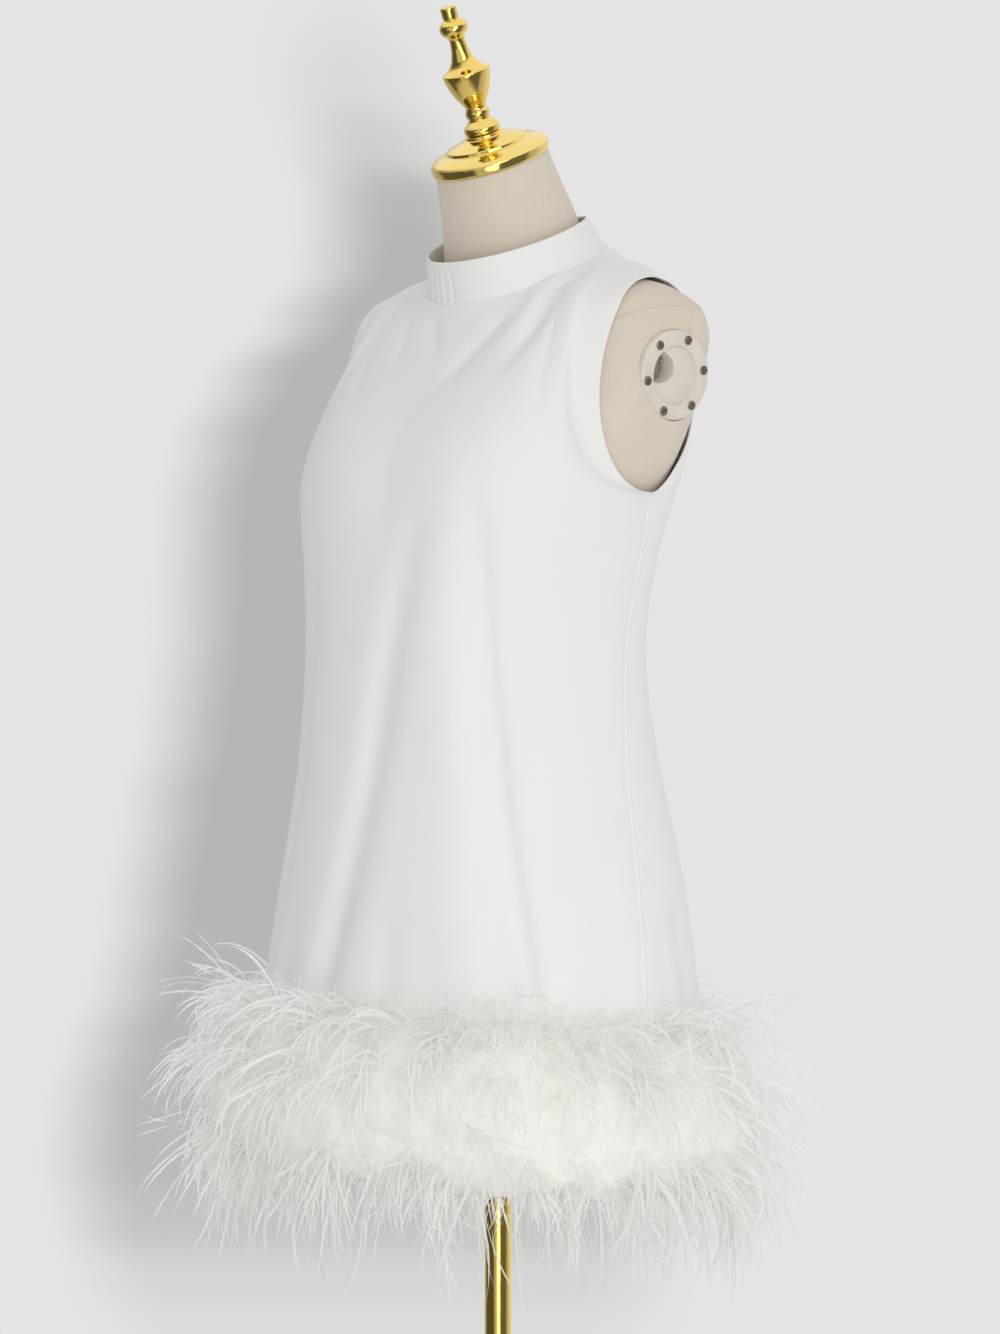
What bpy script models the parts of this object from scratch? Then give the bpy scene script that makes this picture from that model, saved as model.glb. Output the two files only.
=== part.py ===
"""Sleeveless shift dress with a stand collar and a feather hem, on a limbless dress form.

Metres, +Z up. The origin is the middle of the base's underside, on the pole's axis.
The form faces -Y and the wearer's left is +X.
"""
import math
import random
from collections import namedtuple

import bmesh
import bpy
import numpy as np
from mathutils import Matrix, Vector
from mathutils.bvhtree import BVHTree

# ---------------------------------------------------------------- driving dimensions

CLOTH = 0.0020            # thickness of the crepe wall
SEAM_GAP = 0.0003         # gap between pieces that meet at a seam
SEAT_GAP = 0.0003         # gap between hard pieces that touch

HEM_Z = 0.552             # mean height of the cloth's hem
HEM_LIFT = 0.018          # the hem is this much higher in front and lower behind
CHEST_Z = 1.166           # height of the underarm points

NECK_MIDDLE = Vector((0.0, 0.028, 1.378))   # middle of the collar's seam
NECK_HALF_WIDTH = 0.080
NECK_HALF_DEPTH = 0.084
NECK_SLOPE = 0.47         # the collar's seam rises this much for each metre backwards
SHOULDER_TIP = Vector((0.150, 0.036, 1.3625))
SHOULDER_CROWN = 0.003    # rise of the shoulder seam between its ends
SEAM_SWING = 13.0         # degrees that the side seams swing forwards by, at the hem
FORM_CLEARANCE = 0.0020   # the cloth's inner face stays this far off the form
EDGE_CLEARANCE = 0.0008   # and its edges and seams rest this close to it
REST_ROUNDS = 3
REST_SAMPLES = 3          # places tested between each two points of the cloth
EASE_SHARE = 0.75         # share of its neighbours' lift that a point takes over
EASE_ROUNDS = 2
COLLAR_TOP_MIDDLE = Vector((0.0, 0.0130, 1.4045))
COLLAR_TOP_HALF_WIDTH = 0.0715
COLLAR_TOP_HALF_DEPTH = 0.0765
COLLAR_TOP_SLOPE = 0.43
BUTTON_SIDES = 14

BUST_APEX_X = 0.086
BUST_APEX_Z = 1.192
BUST_SPREAD = 0.050
BUST_HEIGHT = 0.009

POLE_RADIUS = 0.0122
POLE_SIDES = 32
BASE_RADIUS = 0.170
BASE_SIDES = 36
BASE_SOCKET_FLOOR = 0.012
TORSO_BOTTOM = 0.705
TORSO_SOCKET_DEPTH = 0.060

CAP_MIDDLE = Vector((0.0, -0.0125, 1.4780))
CAP_LEAN = math.radians(26.5)
CAP_RADIUS = 0.0555
CAP_SIDES = 32
FINIAL_SIDES = 18

PLATE_MIDDLE = Vector((0.1775, 0.0285, 1.2710))
PLATE_RADIUS = 0.0405
PLATE_SIDES = 24
SCREW_SIDES = 8
PLATE_FACING = math.radians(13.0)     # the plates look this much forwards
PLATE_TILT = math.radians(8.0)        # and this much downwards
SCREW_CIRCLE = 0.0338
SCREW_RADIUS = 0.0029
SCREWS = 6
SCREW_TURN = 0.19         # share of a step that the first screw is turned by

TAPE_HEIGHT = 0.010       # the feathers' tapes
TAPE_THICKNESS = 0.0020
TAPE_GAP = 0.0020
TAPE_LEVEL_Z = 1.2        # height at which the hem's lift has faded out of the tapes
LOCK_WIDTHS = (0.34, 0.24)      # half widths at a lock's two bends, as shares of its root
LOCK_DEPTHS = (0.0035, 0.0026)  # half depths there
LOCK_SWAY = 0.16
SHORTEST_LOCK = 0.88

COLUMNS = 14              # columns of cloth in each half panel, and locks along it
LOWER_ROWS = 10           # rows of cloth from the hem to the underarm
UPPER_ROWS = 10           # rows from the underarm to the shoulder
UPPER_ROW_CROWDING = 1.4  # above 1, these rows crowd towards the shoulder
COLLAR_ROWS = 2
TORSO_SIDES = 36
NECK_ROOT_Z = 1.360
NECK_ROOT_BLEND = 0.050
SHOULDER_FALL = 0.15      # share of its slope that a shoulder ring keeps behind the shoulder


# ---------------------------------------------------------------- tables

# Horizontal sections of the hanging cloth, from the hem to the underarm.
# front and back are depths from the section's middle line, at y = middle.
Section = namedtuple("Section", "z half_width middle front back squareness")
DRESS_SECTIONS = [
    Section(0.530, 0.235, -0.026, 0.212, 0.200, 2.00),
    Section(0.700, 0.211, -0.025, 0.186, 0.174, 2.00),
    Section(0.800, 0.194, -0.022, 0.174, 0.160, 2.05),
    Section(0.930, 0.168, -0.018, 0.162, 0.116, 2.20),
    Section(1.036, 0.158, -0.012, 0.165, 0.083, 2.30),
    Section(1.100, 0.162, -0.004, 0.168, 0.084, 2.40),
    Section(1.171, 0.171, 0.004, 0.165, 0.104, 2.50),
    Section(1.240, 0.176, 0.012, 0.148, 0.112, 2.60),
]

# Rings of the form's torso and neck. slope is the rise of the ring for each metre
# backwards, and taper is how much wider the ring is for each metre backwards.
Ring = namedtuple("Ring", "z half_width middle front back squareness slope taper")
TORSO_RINGS = [
    Ring(0.705, 0.142, 0.000, 0.090, 0.094, 2.1, 0.00, 0.0),
    Ring(0.715, 0.152, 0.000, 0.100, 0.104, 2.1, 0.00, 0.0),
    Ring(0.780, 0.164, -0.002, 0.106, 0.116, 2.1, 0.00, 0.0),
    Ring(0.850, 0.166, -0.002, 0.106, 0.112, 2.1, 0.00, 0.0),
    Ring(0.940, 0.143, -0.006, 0.098, 0.090, 2.1, 0.00, 0.0),
    Ring(1.036, 0.118, -0.012, 0.086, 0.074, 2.1, 0.00, 0.0),
    Ring(1.100, 0.133, -0.008, 0.098, 0.080, 2.2, 0.00, 0.0),
    Ring(1.165, 0.157, -0.002, 0.114, 0.098, 2.4, 0.00, 0.2),
    Ring(1.200, 0.166, 0.006, 0.116, 0.100, 2.6, 0.00, 0.5),
    Ring(1.240, 0.174, 0.018, 0.110, 0.092, 2.8, 0.05, 0.9),
    Ring(1.285, 0.178, 0.030, 0.104, 0.082, 3.0, 0.16, 1.4),
    Ring(1.318, 0.179, 0.036, 0.098, 0.074, 3.0, 0.24, 1.6),
    Ring(1.338, 0.173, 0.038, 0.092, 0.068, 2.8, 0.26, 1.4),
    Ring(1.351, 0.159, 0.038, 0.086, 0.062, 2.2, 0.28, 0.6),
    Ring(1.358, 0.140, 0.038, 0.082, 0.062, 2.0, 0.30, 0.2),
    Ring(1.364, 0.104, 0.036, 0.076, 0.064, 2.0, 0.36, 0.0),
    Ring(1.370, 0.082, 0.031, 0.068, 0.064, 2.0, 0.42, 0.0),
    Ring(1.380, 0.0700, 0.028, 0.062, 0.063, 2.0, 0.45, 0.0),
    Ring(1.408, 0.0620, 0.019, 0.060, 0.062, 2.0, 0.46, 0.0),
    Ring(1.440, 0.0560, 0.005, 0.054, 0.056, 2.0, 0.47, 0.0),
    Ring(1.4732, 0.0525, -0.0101, 0.0470, 0.0470, 2.0, 0.4986, 0.0),
]

# How each column of the bodice leaves the chest row and reaches the top edge. Rows:
# the middle of the panel, the column to the neck corner, and the armhole's edge.
Pull = namedtuple("Pull", "share leave_x leave_y leave_z arrive_x arrive_y arrive_z")
PULLS = {
    "front": [Pull(0.00, 0.000, 0.008, 0.062, 0.000, -0.030, -0.052),
              Pull(0.50, 0.000, 0.006, 0.066, 0.014, -0.068, -0.022),
              Pull(0.78, -0.019, -0.049, 0.035, -0.005, -0.090, -0.016),
              Pull(1.00, -0.012, -0.107, -0.000, -0.004, -0.088, -0.015)],
    "back": [Pull(0.00, 0.000, 0.012, 0.080, 0.000, 0.022, -0.062),
             Pull(0.50, 0.002, 0.022, 0.076, 0.047, 0.091, 0.041),
             Pull(0.78, 0.000, 0.040, 0.056, 0.017, 0.124, 0.009),
             Pull(1.00, -0.003, 0.057, 0.007, 0.000, 0.146, -0.006)],
}

# Soft vertical folds that the cloth falls into. Each runs from top to bottom, its
# middle at angle top_angle and then bottom_angle round the section (0 is the middle
# of the front, positive towards the wearer's left), width and depth in metres.
Fold = namedtuple("Fold", "top bottom top_angle bottom_angle width depth")
FOLDS = [
    Fold(1.195, 0.545, 29, 58, 0.024, -0.0060),
    Fold(1.180, 0.545, 20, 41, 0.036, 0.0046),
    Fold(1.070, 0.545, 20, -24, 0.024, -0.0084),
    Fold(0.860, 0.545, 11, 7, 0.018, -0.0034),
    Fold(0.840, 0.545, -31, -37, 0.020, -0.0044),
    Fold(1.190, 0.720, -26, -50, 0.018, -0.0050),
    Fold(0.860, 0.545, 96, 104, 0.018, -0.0050),
    Fold(1.080, 0.545, 140, 128, 0.026, -0.0060),
    Fold(1.080, 0.545, -136, -126, 0.026, -0.0065),
    Fold(0.960, 0.545, 164, 158, 0.022, -0.0040),
    Fold(0.940, 0.545, -162, -160, 0.022, -0.0045),
    Fold(0.900, 0.545, -96, -104, 0.020, -0.0048),
]

# The three rows of feathers. Each lock leaves its tape outwards and then droops:
# reach and drop are where its two bends and its tip lie, from the tape.
FeatherRow = namedtuple("FeatherRow", "name z reach drop seed")
FEATHER_ROWS = [
    FeatherRow("top", 0.694, (0.048, 0.084, 0.106), (-0.008, 0.040, 0.130), 3),
    FeatherRow("middle", 0.648, (0.028, 0.052, 0.066), (0.006, 0.066, 0.156), 5),
    FeatherRow("bottom", 0.602, (0.016, 0.030, 0.038), (0.024, 0.080, 0.145), 8),
]


# Profiles of the turned pieces run down the outer side, as (radius, height).
PLATE_PROFILE = [(0.0, 0.0026), (0.0080, 0.0016), (0.0145, -0.0018), (0.0178, -0.0060),
                 (0.0185, -0.0105), (0.0238, -0.0105), (0.0252, 0.0005), (0.0268, 0.0022),
                 (0.0385, 0.0022), (0.0402, 0.0010), (PLATE_RADIUS, -0.0010),
                 (PLATE_RADIUS, -0.0060), (0.0275, -0.0060), (0.0270, -0.0160), (0.0, -0.0160)]
PLATE_POCKET = [(0.0, 0.0300), (PLATE_RADIUS + SEAT_GAP, 0.0300),
                (PLATE_RADIUS + SEAT_GAP, -0.0063), (0.0280, -0.0063), (0.0280, -0.0163),
                (0.0, -0.0163)]
SCREW_PROFILE = [(0.0, 0.0016), (0.0016, 0.0014), (SCREW_RADIUS, 0.0006),
                 (SCREW_RADIUS, 0.0), (0.0, 0.0)]
CAP_PROFILE = [(0.0, 0.0225), (0.0165, 0.0225), (0.0172, 0.0195), (0.0260, 0.0172),
               (0.0370, 0.0135), (0.0378, 0.0105), (0.0470, 0.0088), (0.0530, 0.0060),
               (CAP_RADIUS, 0.0030), (CAP_RADIUS, -0.0032), (0.0542, -0.0050),
               (0.0, -0.0050)]
FINIAL_PROFILE = [(0.0, 0.1405), (0.0065, 0.1405), (0.0075, 0.1395), (0.0075, 0.1300),
                  (0.0066, 0.1290), (0.0095, 0.1275), (0.0126, 0.1240), (0.0133, 0.1205),
                  (0.0122, 0.1165), (0.0082, 0.1130), (0.0070, 0.1100), (0.0078, 0.1010),
                  (0.0105, 0.0915), (0.0150, 0.0845), (0.0216, 0.0808), (0.0220, 0.0792),
                  (0.0214, 0.0750), (0.0195, 0.0680), (0.0160, 0.0590), (0.0118, 0.0520),
                  (0.0090, 0.0470), (0.0113, 0.0430), (0.0113, 0.0390), (0.0096, 0.0360),
                  (0.0125, 0.0330), (0.0165, 0.0290), (0.0170, 0.0255), (0.0155, 0.0228),
                  (0.0, 0.0228)]
BASE_PROFILE = [(0.0, BASE_SOCKET_FLOOR), (POLE_RADIUS + SEAT_GAP, BASE_SOCKET_FLOOR),
                (POLE_RADIUS + SEAT_GAP, 0.0500), (0.0200, 0.0500), (0.0225, 0.0470),
                (0.0235, 0.0300), (0.0320, 0.0210), (0.0600, 0.0165), (0.1500, 0.0120),
                (0.1670, 0.0095), (BASE_RADIUS, 0.0060), (BASE_RADIUS, 0.0015),
                (0.1685, 0.0), (0.0, 0.0)]
BUTTON_PROFILE = [(0.0, 0.0042), (0.0022, 0.0038), (0.0040, 0.0024), (0.0045, 0.0010),
                  (0.0038, 0.0), (0.0, 0.0)]


# ---------------------------------------------------------------- scene and materials

for scene_object in list(bpy.data.objects):
    bpy.data.objects.remove(scene_object, do_unlink=True)

PARTS = bpy.data.collections.new("shift_dress_on_form")
CUTTERS = bpy.data.collections.new("cutters")
for collection in (PARTS, CUTTERS):
    bpy.context.scene.collection.children.link(collection)


def principled(name, colour, roughness, metallic=0.0):
    """Make a Principled material."""
    material = bpy.data.materials.new(name)
    material.use_nodes = True
    shader = material.node_tree.nodes["Principled BSDF"]
    shader.inputs["Base Color"].default_value = (*colour, 1.0)
    shader.inputs["Roughness"].default_value = roughness
    shader.inputs["Metallic"].default_value = metallic
    return material


CREPE = ("white crepe", (0.84, 0.84, 0.82), 0.62)
FEATHER = ("ostrich feather", (0.86, 0.83, 0.78), 0.80)
LINEN = ("linen cover", (0.66, 0.59, 0.51), 0.90)
GOLD = ("polished gold", (0.90, 0.62, 0.12), 0.12, 1.0)
PLASTIC = ("cream plastic", (0.80, 0.75, 0.66), 0.38)
BRONZE = ("dark bronze", (0.18, 0.13, 0.09), 0.45, 1.0)


def add_part(name, mesh, finish, smooth_angle=40.0):
    """Link a mesh as a named part with its own material."""
    part = bpy.data.objects.new(name, mesh)
    PARTS.objects.link(part)
    if not mesh.materials:
        mesh.materials.append(principled(f"{name} {finish[0]}", *finish[1:]))
    mesh.shade_smooth()
    mesh.set_sharp_from_angle(angle=math.radians(smooth_angle))
    return part


def add_cutter(name, mesh, matrix):
    """Link a mesh as a hidden cutter."""
    cutter = bpy.data.objects.new(name, mesh)
    CUTTERS.objects.link(cutter)
    cutter.matrix_world = matrix
    cutter.hide_render = True
    cutter.display_type = "WIRE"
    return cutter


def cut(part, cutter):
    """Cut the cutter out of the part."""
    modifier = part.modifiers.new(f"cut {cutter.name}", "BOOLEAN")
    modifier.operation = "DIFFERENCE"
    modifier.solver = "EXACT"
    modifier.object = cutter


def mesh_from(name, points, faces):
    """Make a mesh from points and faces, with its faces turned outwards."""
    mesh = bpy.data.meshes.new(name)
    mesh.from_pydata([tuple(point) for point in points], [], faces)
    shape = bmesh.new()
    shape.from_mesh(mesh)
    bmesh.ops.recalc_face_normals(shape, faces=shape.faces)
    shape.to_mesh(mesh)
    shape.free()
    return mesh


def cylinder_mesh(name, radius, depth, sides):
    """Make a closed cylinder about +Z, its middle at the origin."""
    mesh = bpy.data.meshes.new(name)
    shape = bmesh.new()
    bmesh.ops.create_cone(shape, cap_ends=True, segments=sides, radius1=radius,
                          radius2=radius, depth=depth)
    shape.to_mesh(mesh)
    shape.free()
    return mesh


def profile_mesh(name, profile):
    """Make a line of (radius, height) points, from the top down."""
    mesh = bpy.data.meshes.new(name)
    points = [(radius, 0.0, height) for radius, height in profile]
    mesh.from_pydata(points, [(i, i + 1) for i in range(len(points) - 1)], [])
    return mesh


def turn(solid, sides):
    """Turn an object's profile about its own +Z."""
    screw = solid.modifiers.new("turn", "SCREW")
    screw.axis = "Z"
    screw.steps = sides
    screw.render_steps = sides
    screw.use_merge_vertices = True
    screw.merge_threshold = 1e-5
    screw.use_smooth_shade = True


def turned(name, profile, finish, sides, matrix=Matrix.Identity(4)):
    """Add a part turned from a profile."""
    part = add_part(name, profile_mesh(name, profile), finish)
    turn(part, sides)
    part.matrix_world = matrix
    return part


# ---------------------------------------------------------------- shape of the cloth

def smooth_table(table, column, z):
    """Read a column of a table at heights z, on a smooth curve through its rows."""
    heights = np.array([row.z for row in table])
    values = np.array([getattr(row, column) for row in table], float)
    slopes = np.gradient(values, heights)
    z = np.clip(z, heights[0], heights[-1])
    row = np.clip(np.searchsorted(heights, z) - 1, 0, len(table) - 2)
    span = heights[row + 1] - heights[row]
    t = (z - heights[row]) / span
    return ((1 + 2 * t) * (1 - t) ** 2 * values[row] + t * (1 - t) ** 2 * span * slopes[row]
            + t * t * (3 - 2 * t) * values[row + 1]
            + t * t * (t - 1) * span * slopes[row + 1])


def signed_power(value, power):
    """Raise a number to a power and keep its sign."""
    return np.sign(value) * np.abs(value) ** power


def smooth_step(value):
    """Run from 0 to 1 with flat ends."""
    value = np.clip(value, 0.0, 1.0)
    return value * value * (3 - 2 * value)


def dress_section(angle, z):
    """Points of the hanging cloth at angles round its sections, at heights z."""
    power = 2.0 / smooth_table(DRESS_SECTIONS, "squareness", z)
    half_width = smooth_table(DRESS_SECTIONS, "half_width", z)
    middle = smooth_table(DRESS_SECTIONS, "middle", z)
    front = smooth_table(DRESS_SECTIONS, "front", z)
    back = smooth_table(DRESS_SECTIONS, "back", z)
    depth = np.where(np.cos(angle) > 0, front, back)
    x = half_width * signed_power(np.sin(angle), power)
    y = middle - depth * signed_power(np.cos(angle), power)
    return np.stack([x, y, z], axis=-1)


def side_seam_angle(z):
    """The side seams swing forwards from the underarm to the hem."""
    return np.radians(90.0 - SEAM_SWING * smooth_step((CHEST_Z - z) / (CHEST_Z - HEM_Z)))


def lower_row(fraction, share, side):
    """One row of a panel below the underarm, at equal steps along the cloth.

    fraction runs from 0 at the hem to 1 at the underarm. share holds each column's
    place, from 0 at the middle of the front or back to 1 at the side seam.
    """
    angle_from_middle = np.linspace(0.0, 1.0, 181)
    height = HEM_Z + (CHEST_Z - HEM_Z) * fraction
    seam = side_seam_angle(np.array(height))
    if side == "front":
        angle = angle_from_middle * seam
    else:
        angle = math.pi - angle_from_middle * (math.pi - seam)
    z = height + HEM_LIFT * (1 - fraction) ** 2 * np.cos(angle)
    points = dress_section(angle, z)
    steps = np.linalg.norm(np.diff(points, axis=0), axis=1)
    along = np.concatenate([[0.0], np.cumsum(steps)])
    along /= along[-1]
    return np.stack([np.interp(share, along, points[:, i]) for i in range(3)], axis=-1)


def neckline(turn):
    """Point of the collar's seam; turn runs from 0 in front to pi behind."""
    y = -NECK_HALF_DEPTH * np.cos(turn)
    return np.stack([NECK_HALF_WIDTH * np.sin(turn), NECK_MIDDLE.y + y,
                     NECK_MIDDLE.z + NECK_SLOPE * y], axis=-1)


def top_row(share, side):
    """The panel's top edge: half the neckline, then the shoulder seam to its tip."""
    neck_turn = np.clip(share * 2, 0, 1) * math.pi / 2
    if side == "back":
        neck_turn = math.pi - neck_turn
    neck = neckline(neck_turn)
    corner = neckline(np.array(math.pi / 2))
    along = np.clip(share * 2 - 1, 0, 1)[:, None]
    shoulder = corner + (np.array(SHOULDER_TIP) - corner) * along
    shoulder[:, 2] += SHOULDER_CROWN * np.sin(along[:, 0] * math.pi)
    return np.where(share[:, None] <= 0.5, neck, shoulder)


def pull(side, column, share):
    """Read a column of the pulls on an even curve, flat at the panel's middle."""
    places = [row.share ** 2 for row in PULLS[side]]
    values = [getattr(row, column) for row in PULLS[side]]
    return np.polyval(np.polyfit(places, values, len(places) - 1), share ** 2)


def bodice_rows(fractions, share, side):
    """Rows from the chest row up to the top edge, each column a Bezier curve."""
    start = lower_row(1.0, share, side)
    end = top_row(share, side)
    leave = np.stack([pull(side, f"leave_{axis}", share) for axis in "xyz"], axis=-1)
    arrive = np.stack([pull(side, f"arrive_{axis}", share) for axis in "xyz"], axis=-1)
    rows = []
    for t in fractions:
        rows.append((1 - t) ** 3 * start + 3 * t * (1 - t) ** 2 * (start + leave)
                    + 3 * t * t * (1 - t) * (end + arrive) + t ** 3 * end)
    return rows


def bust(points):
    """Push the front out over the two bust points."""
    away = (np.abs(points[..., 0]) - BUST_APEX_X) ** 2 + (points[..., 2] - BUST_APEX_Z) ** 2
    pushed = points.copy()
    pushed[..., 1] -= BUST_HEIGHT * np.exp(-away / (2 * BUST_SPREAD ** 2))
    return pushed


def half_panel(side):
    """Grid of points of half a panel: rows from the hem up, columns from its middle."""
    share = np.linspace(0.0, 1.0, COLUMNS + 1)
    rows = [lower_row(i / LOWER_ROWS, share, side) for i in range(LOWER_ROWS)]
    climb = np.linspace(0.0, 1.0, UPPER_ROWS + 1)
    rows += bodice_rows(1.0 - (1.0 - climb) ** UPPER_ROW_CROWDING, share, side)
    grid = np.array(rows)
    return bust(grid) if side == "front" else grid


def fold_offset(points):
    """How far the folds push the cloth out (or in, if negative) at each point."""
    offset = np.zeros(points.shape[:-1])
    z = points[..., 2]
    middle = smooth_table(DRESS_SECTIONS, "middle", z)
    angle = np.degrees(np.arctan2(points[..., 0], middle - points[..., 1]))
    radius = np.hypot(points[..., 0], points[..., 1] - middle)
    for fold in FOLDS:
        run = (fold.top - z) / (fold.top - fold.bottom)
        centre = fold.top_angle + (fold.bottom_angle - fold.top_angle) * run
        turn = (angle - centre + 180) % 360 - 180
        away = np.radians(turn) * radius
        fade = smooth_step(run / 0.35) * (0.55 + 0.45 * smooth_step(run))
        offset += fold.depth * fade * np.exp(-(away / fold.width) ** 2)
    return offset


def grid_normals(grid):
    """Outward unit normals of a grid: rows run up, columns anticlockwise from above."""
    normals = np.cross(np.gradient(grid, axis=1), np.gradient(grid, axis=0))
    return normals / np.linalg.norm(normals, axis=-1, keepdims=True)


def refined(grid):
    """A grid with REST_SAMPLES straight steps between each two neighbours."""
    for axis in (0, 1):
        count = grid.shape[axis]
        fine = np.linspace(0, count - 1, (count - 1) * REST_SAMPLES + 1)
        low = np.minimum(fine.astype(int), count - 2)
        share = (fine - low).reshape((-1, 1, 1) if axis == 0 else (1, -1, 1))
        grid = (np.take(grid, low, axis) * (1 - share)
                + np.take(grid, low + 1, axis) * share)
    return grid


def rest_on_form(grid, form):
    """Lift a grid where it or the cloth between its points lies too near the form.

    A point on the grid's border answers only for itself, so that pieces that share a
    seam still share it.
    """
    fine = refined(grid)
    needs = np.zeros(fine.shape[:2])
    for place in np.ndindex(needs.shape):
        nearest, outward, _, _ = form.find_nearest(fine[place])
        height = (Vector(fine[place]) - nearest).dot(outward)
        needs[place] = max(0.0, CLOTH + FORM_CLEARANCE - height)
    rows, columns = grid.shape[:2]
    lifts = np.zeros((rows, columns))
    for row, column in np.ndindex(rows, columns):
        on_border = row in (0, rows - 1) or column in (0, columns - 1)
        reach = 0 if on_border else REST_SAMPLES
        at_row, at_column = row * REST_SAMPLES, column * REST_SAMPLES
        lifts[row, column] = needs[at_row - reach:at_row + reach + 1,
                                   at_column - reach:at_column + reach + 1].max()
        if on_border:
            lifts[row, column] = max(0.0, lifts[row, column]
                                     - (FORM_CLEARANCE - EDGE_CLEARANCE))
    for _ in range(EASE_ROUNDS):
        around = (lifts[:-2, 1:-1] + lifts[2:, 1:-1] + lifts[1:-1, :-2] + lifts[1:-1, 2:]) / 4
        lifts[1:-1, 1:-1] = np.maximum(lifts[1:-1, 1:-1], around * EASE_SHARE)
    rested = grid.copy()
    for place in np.ndindex(rows, columns):
        outward = form.find_nearest(grid[place])[1]
        rested[place] += np.array(outward) * lifts[place]
    return rested


def share_normals(one, other):
    """Give two walls that meet at a seam the direction midway between theirs."""
    middle = one + other
    middle /= np.linalg.norm(middle, axis=-1, keepdims=True)
    one[...] = middle
    other[...] = middle


MIRROR = np.array([-1.0, 1.0, 1.0])


def collar_top(turn):
    """Point of the collar's top edge; turn runs from 0 in front to pi behind."""
    y = -COLLAR_TOP_HALF_DEPTH * np.cos(turn)
    return np.stack([COLLAR_TOP_HALF_WIDTH * np.sin(turn), COLLAR_TOP_MIDDLE.y + y,
                     COLLAR_TOP_MIDDLE.z + COLLAR_TOP_SLOPE * y], axis=-1)


def collar_grid():
    """Grid of the collar, its columns from centre back round to centre back again."""
    turn = np.linspace(-math.pi, math.pi, 2 * COLUMNS + 1)
    base = neckline(turn)
    top = collar_top(turn)
    rows = []
    for row in range(COLLAR_ROWS + 1):
        up = row / COLLAR_ROWS
        rows.append(base + (top - base) * up)
    return np.array(rows)


# ---------------------------------------------------------------- cloth walls

SPLIT_DIRECTION = (1.0, 0.7, 0.3)   # along no seam, with x taken as positive


def split_order(point):
    """Order two points the same way in each piece at a seam, and on both sides."""
    return np.dot(SPLIT_DIRECTION, (abs(point[0]), point[1], point[2]))


def wall(name, outer, normals, pull_back):
    """Build a closed cloth wall from its outer points and its directions.

    pull_back names the edges that meet another piece, and takes half the seam's gap
    off each: low and high are the first and last rows, first and last the columns.
    """
    inner = outer - CLOTH * normals
    layers = []
    for layer in (outer, inner):
        moved = layer.copy()
        if "low" in pull_back:
            moved[0] += seam_step(layer[0], layer[1])
        if "high" in pull_back:
            moved[-1] += seam_step(layer[-1], layer[-2])
        if "first" in pull_back:
            moved[:, 0] += seam_step(layer[:, 0], layer[:, 1])
        if "last" in pull_back:
            moved[:, -1] += seam_step(layer[:, -1], layer[:, -2])
        layers.append(moved)
    rows, columns = outer.shape[:2]
    points = np.concatenate([layer.reshape(-1, 3) for layer in layers])
    inside = rows * columns

    def place(row, column):
        return row * columns + column

    faces = []
    for row in range(rows - 1):
        for column in range(columns - 1):
            corners = (place(row, column), place(row, column + 1),
                       place(row + 1, column + 1), place(row + 1, column))
            if outer[row, column, 0] + outer[row, column + 1, 0] < 0.0:
                # The right side's faces start where they mirror the left side's.
                corners = corners[1:] + corners[:1]
            faces.append(corners)
            faces.append(tuple(corners[-i] + inside for i in range(4)))
    border = [place(0, column) for column in range(columns)]
    border += [place(row, columns - 1) for row in range(1, rows)]
    border += [place(rows - 1, column) for column in range(columns - 2, -1, -1)]
    border += [place(row, 0) for row in range(rows - 2, 0, -1)]
    for here, there in zip(border, border[1:] + border[:1]):
        # Both pieces at a seam split the twisted edge strip along the same diagonal.
        if split_order(points[here]) < split_order(points[there]):
            faces += [(there, here, there + inside), (here, here + inside, there + inside)]
        else:
            faces += [(there, here, here + inside), (there, here + inside, there + inside)]
    return add_part(name, mesh_from(name, points, faces), CREPE, smooth_angle=60.0)


def unit(vectors):
    """Scale vectors to length 1."""
    return vectors / np.linalg.norm(vectors, axis=-1, keepdims=True)


def seam_step(edge, beside):
    """Half the seam's gap, square to an edge and towards the row of points beside it."""
    along = unit(np.gradient(edge, axis=0))
    inwards = beside - edge
    inwards -= along * np.sum(inwards * along, axis=-1, keepdims=True)
    return unit(inwards) * SEAM_GAP / 2


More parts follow.
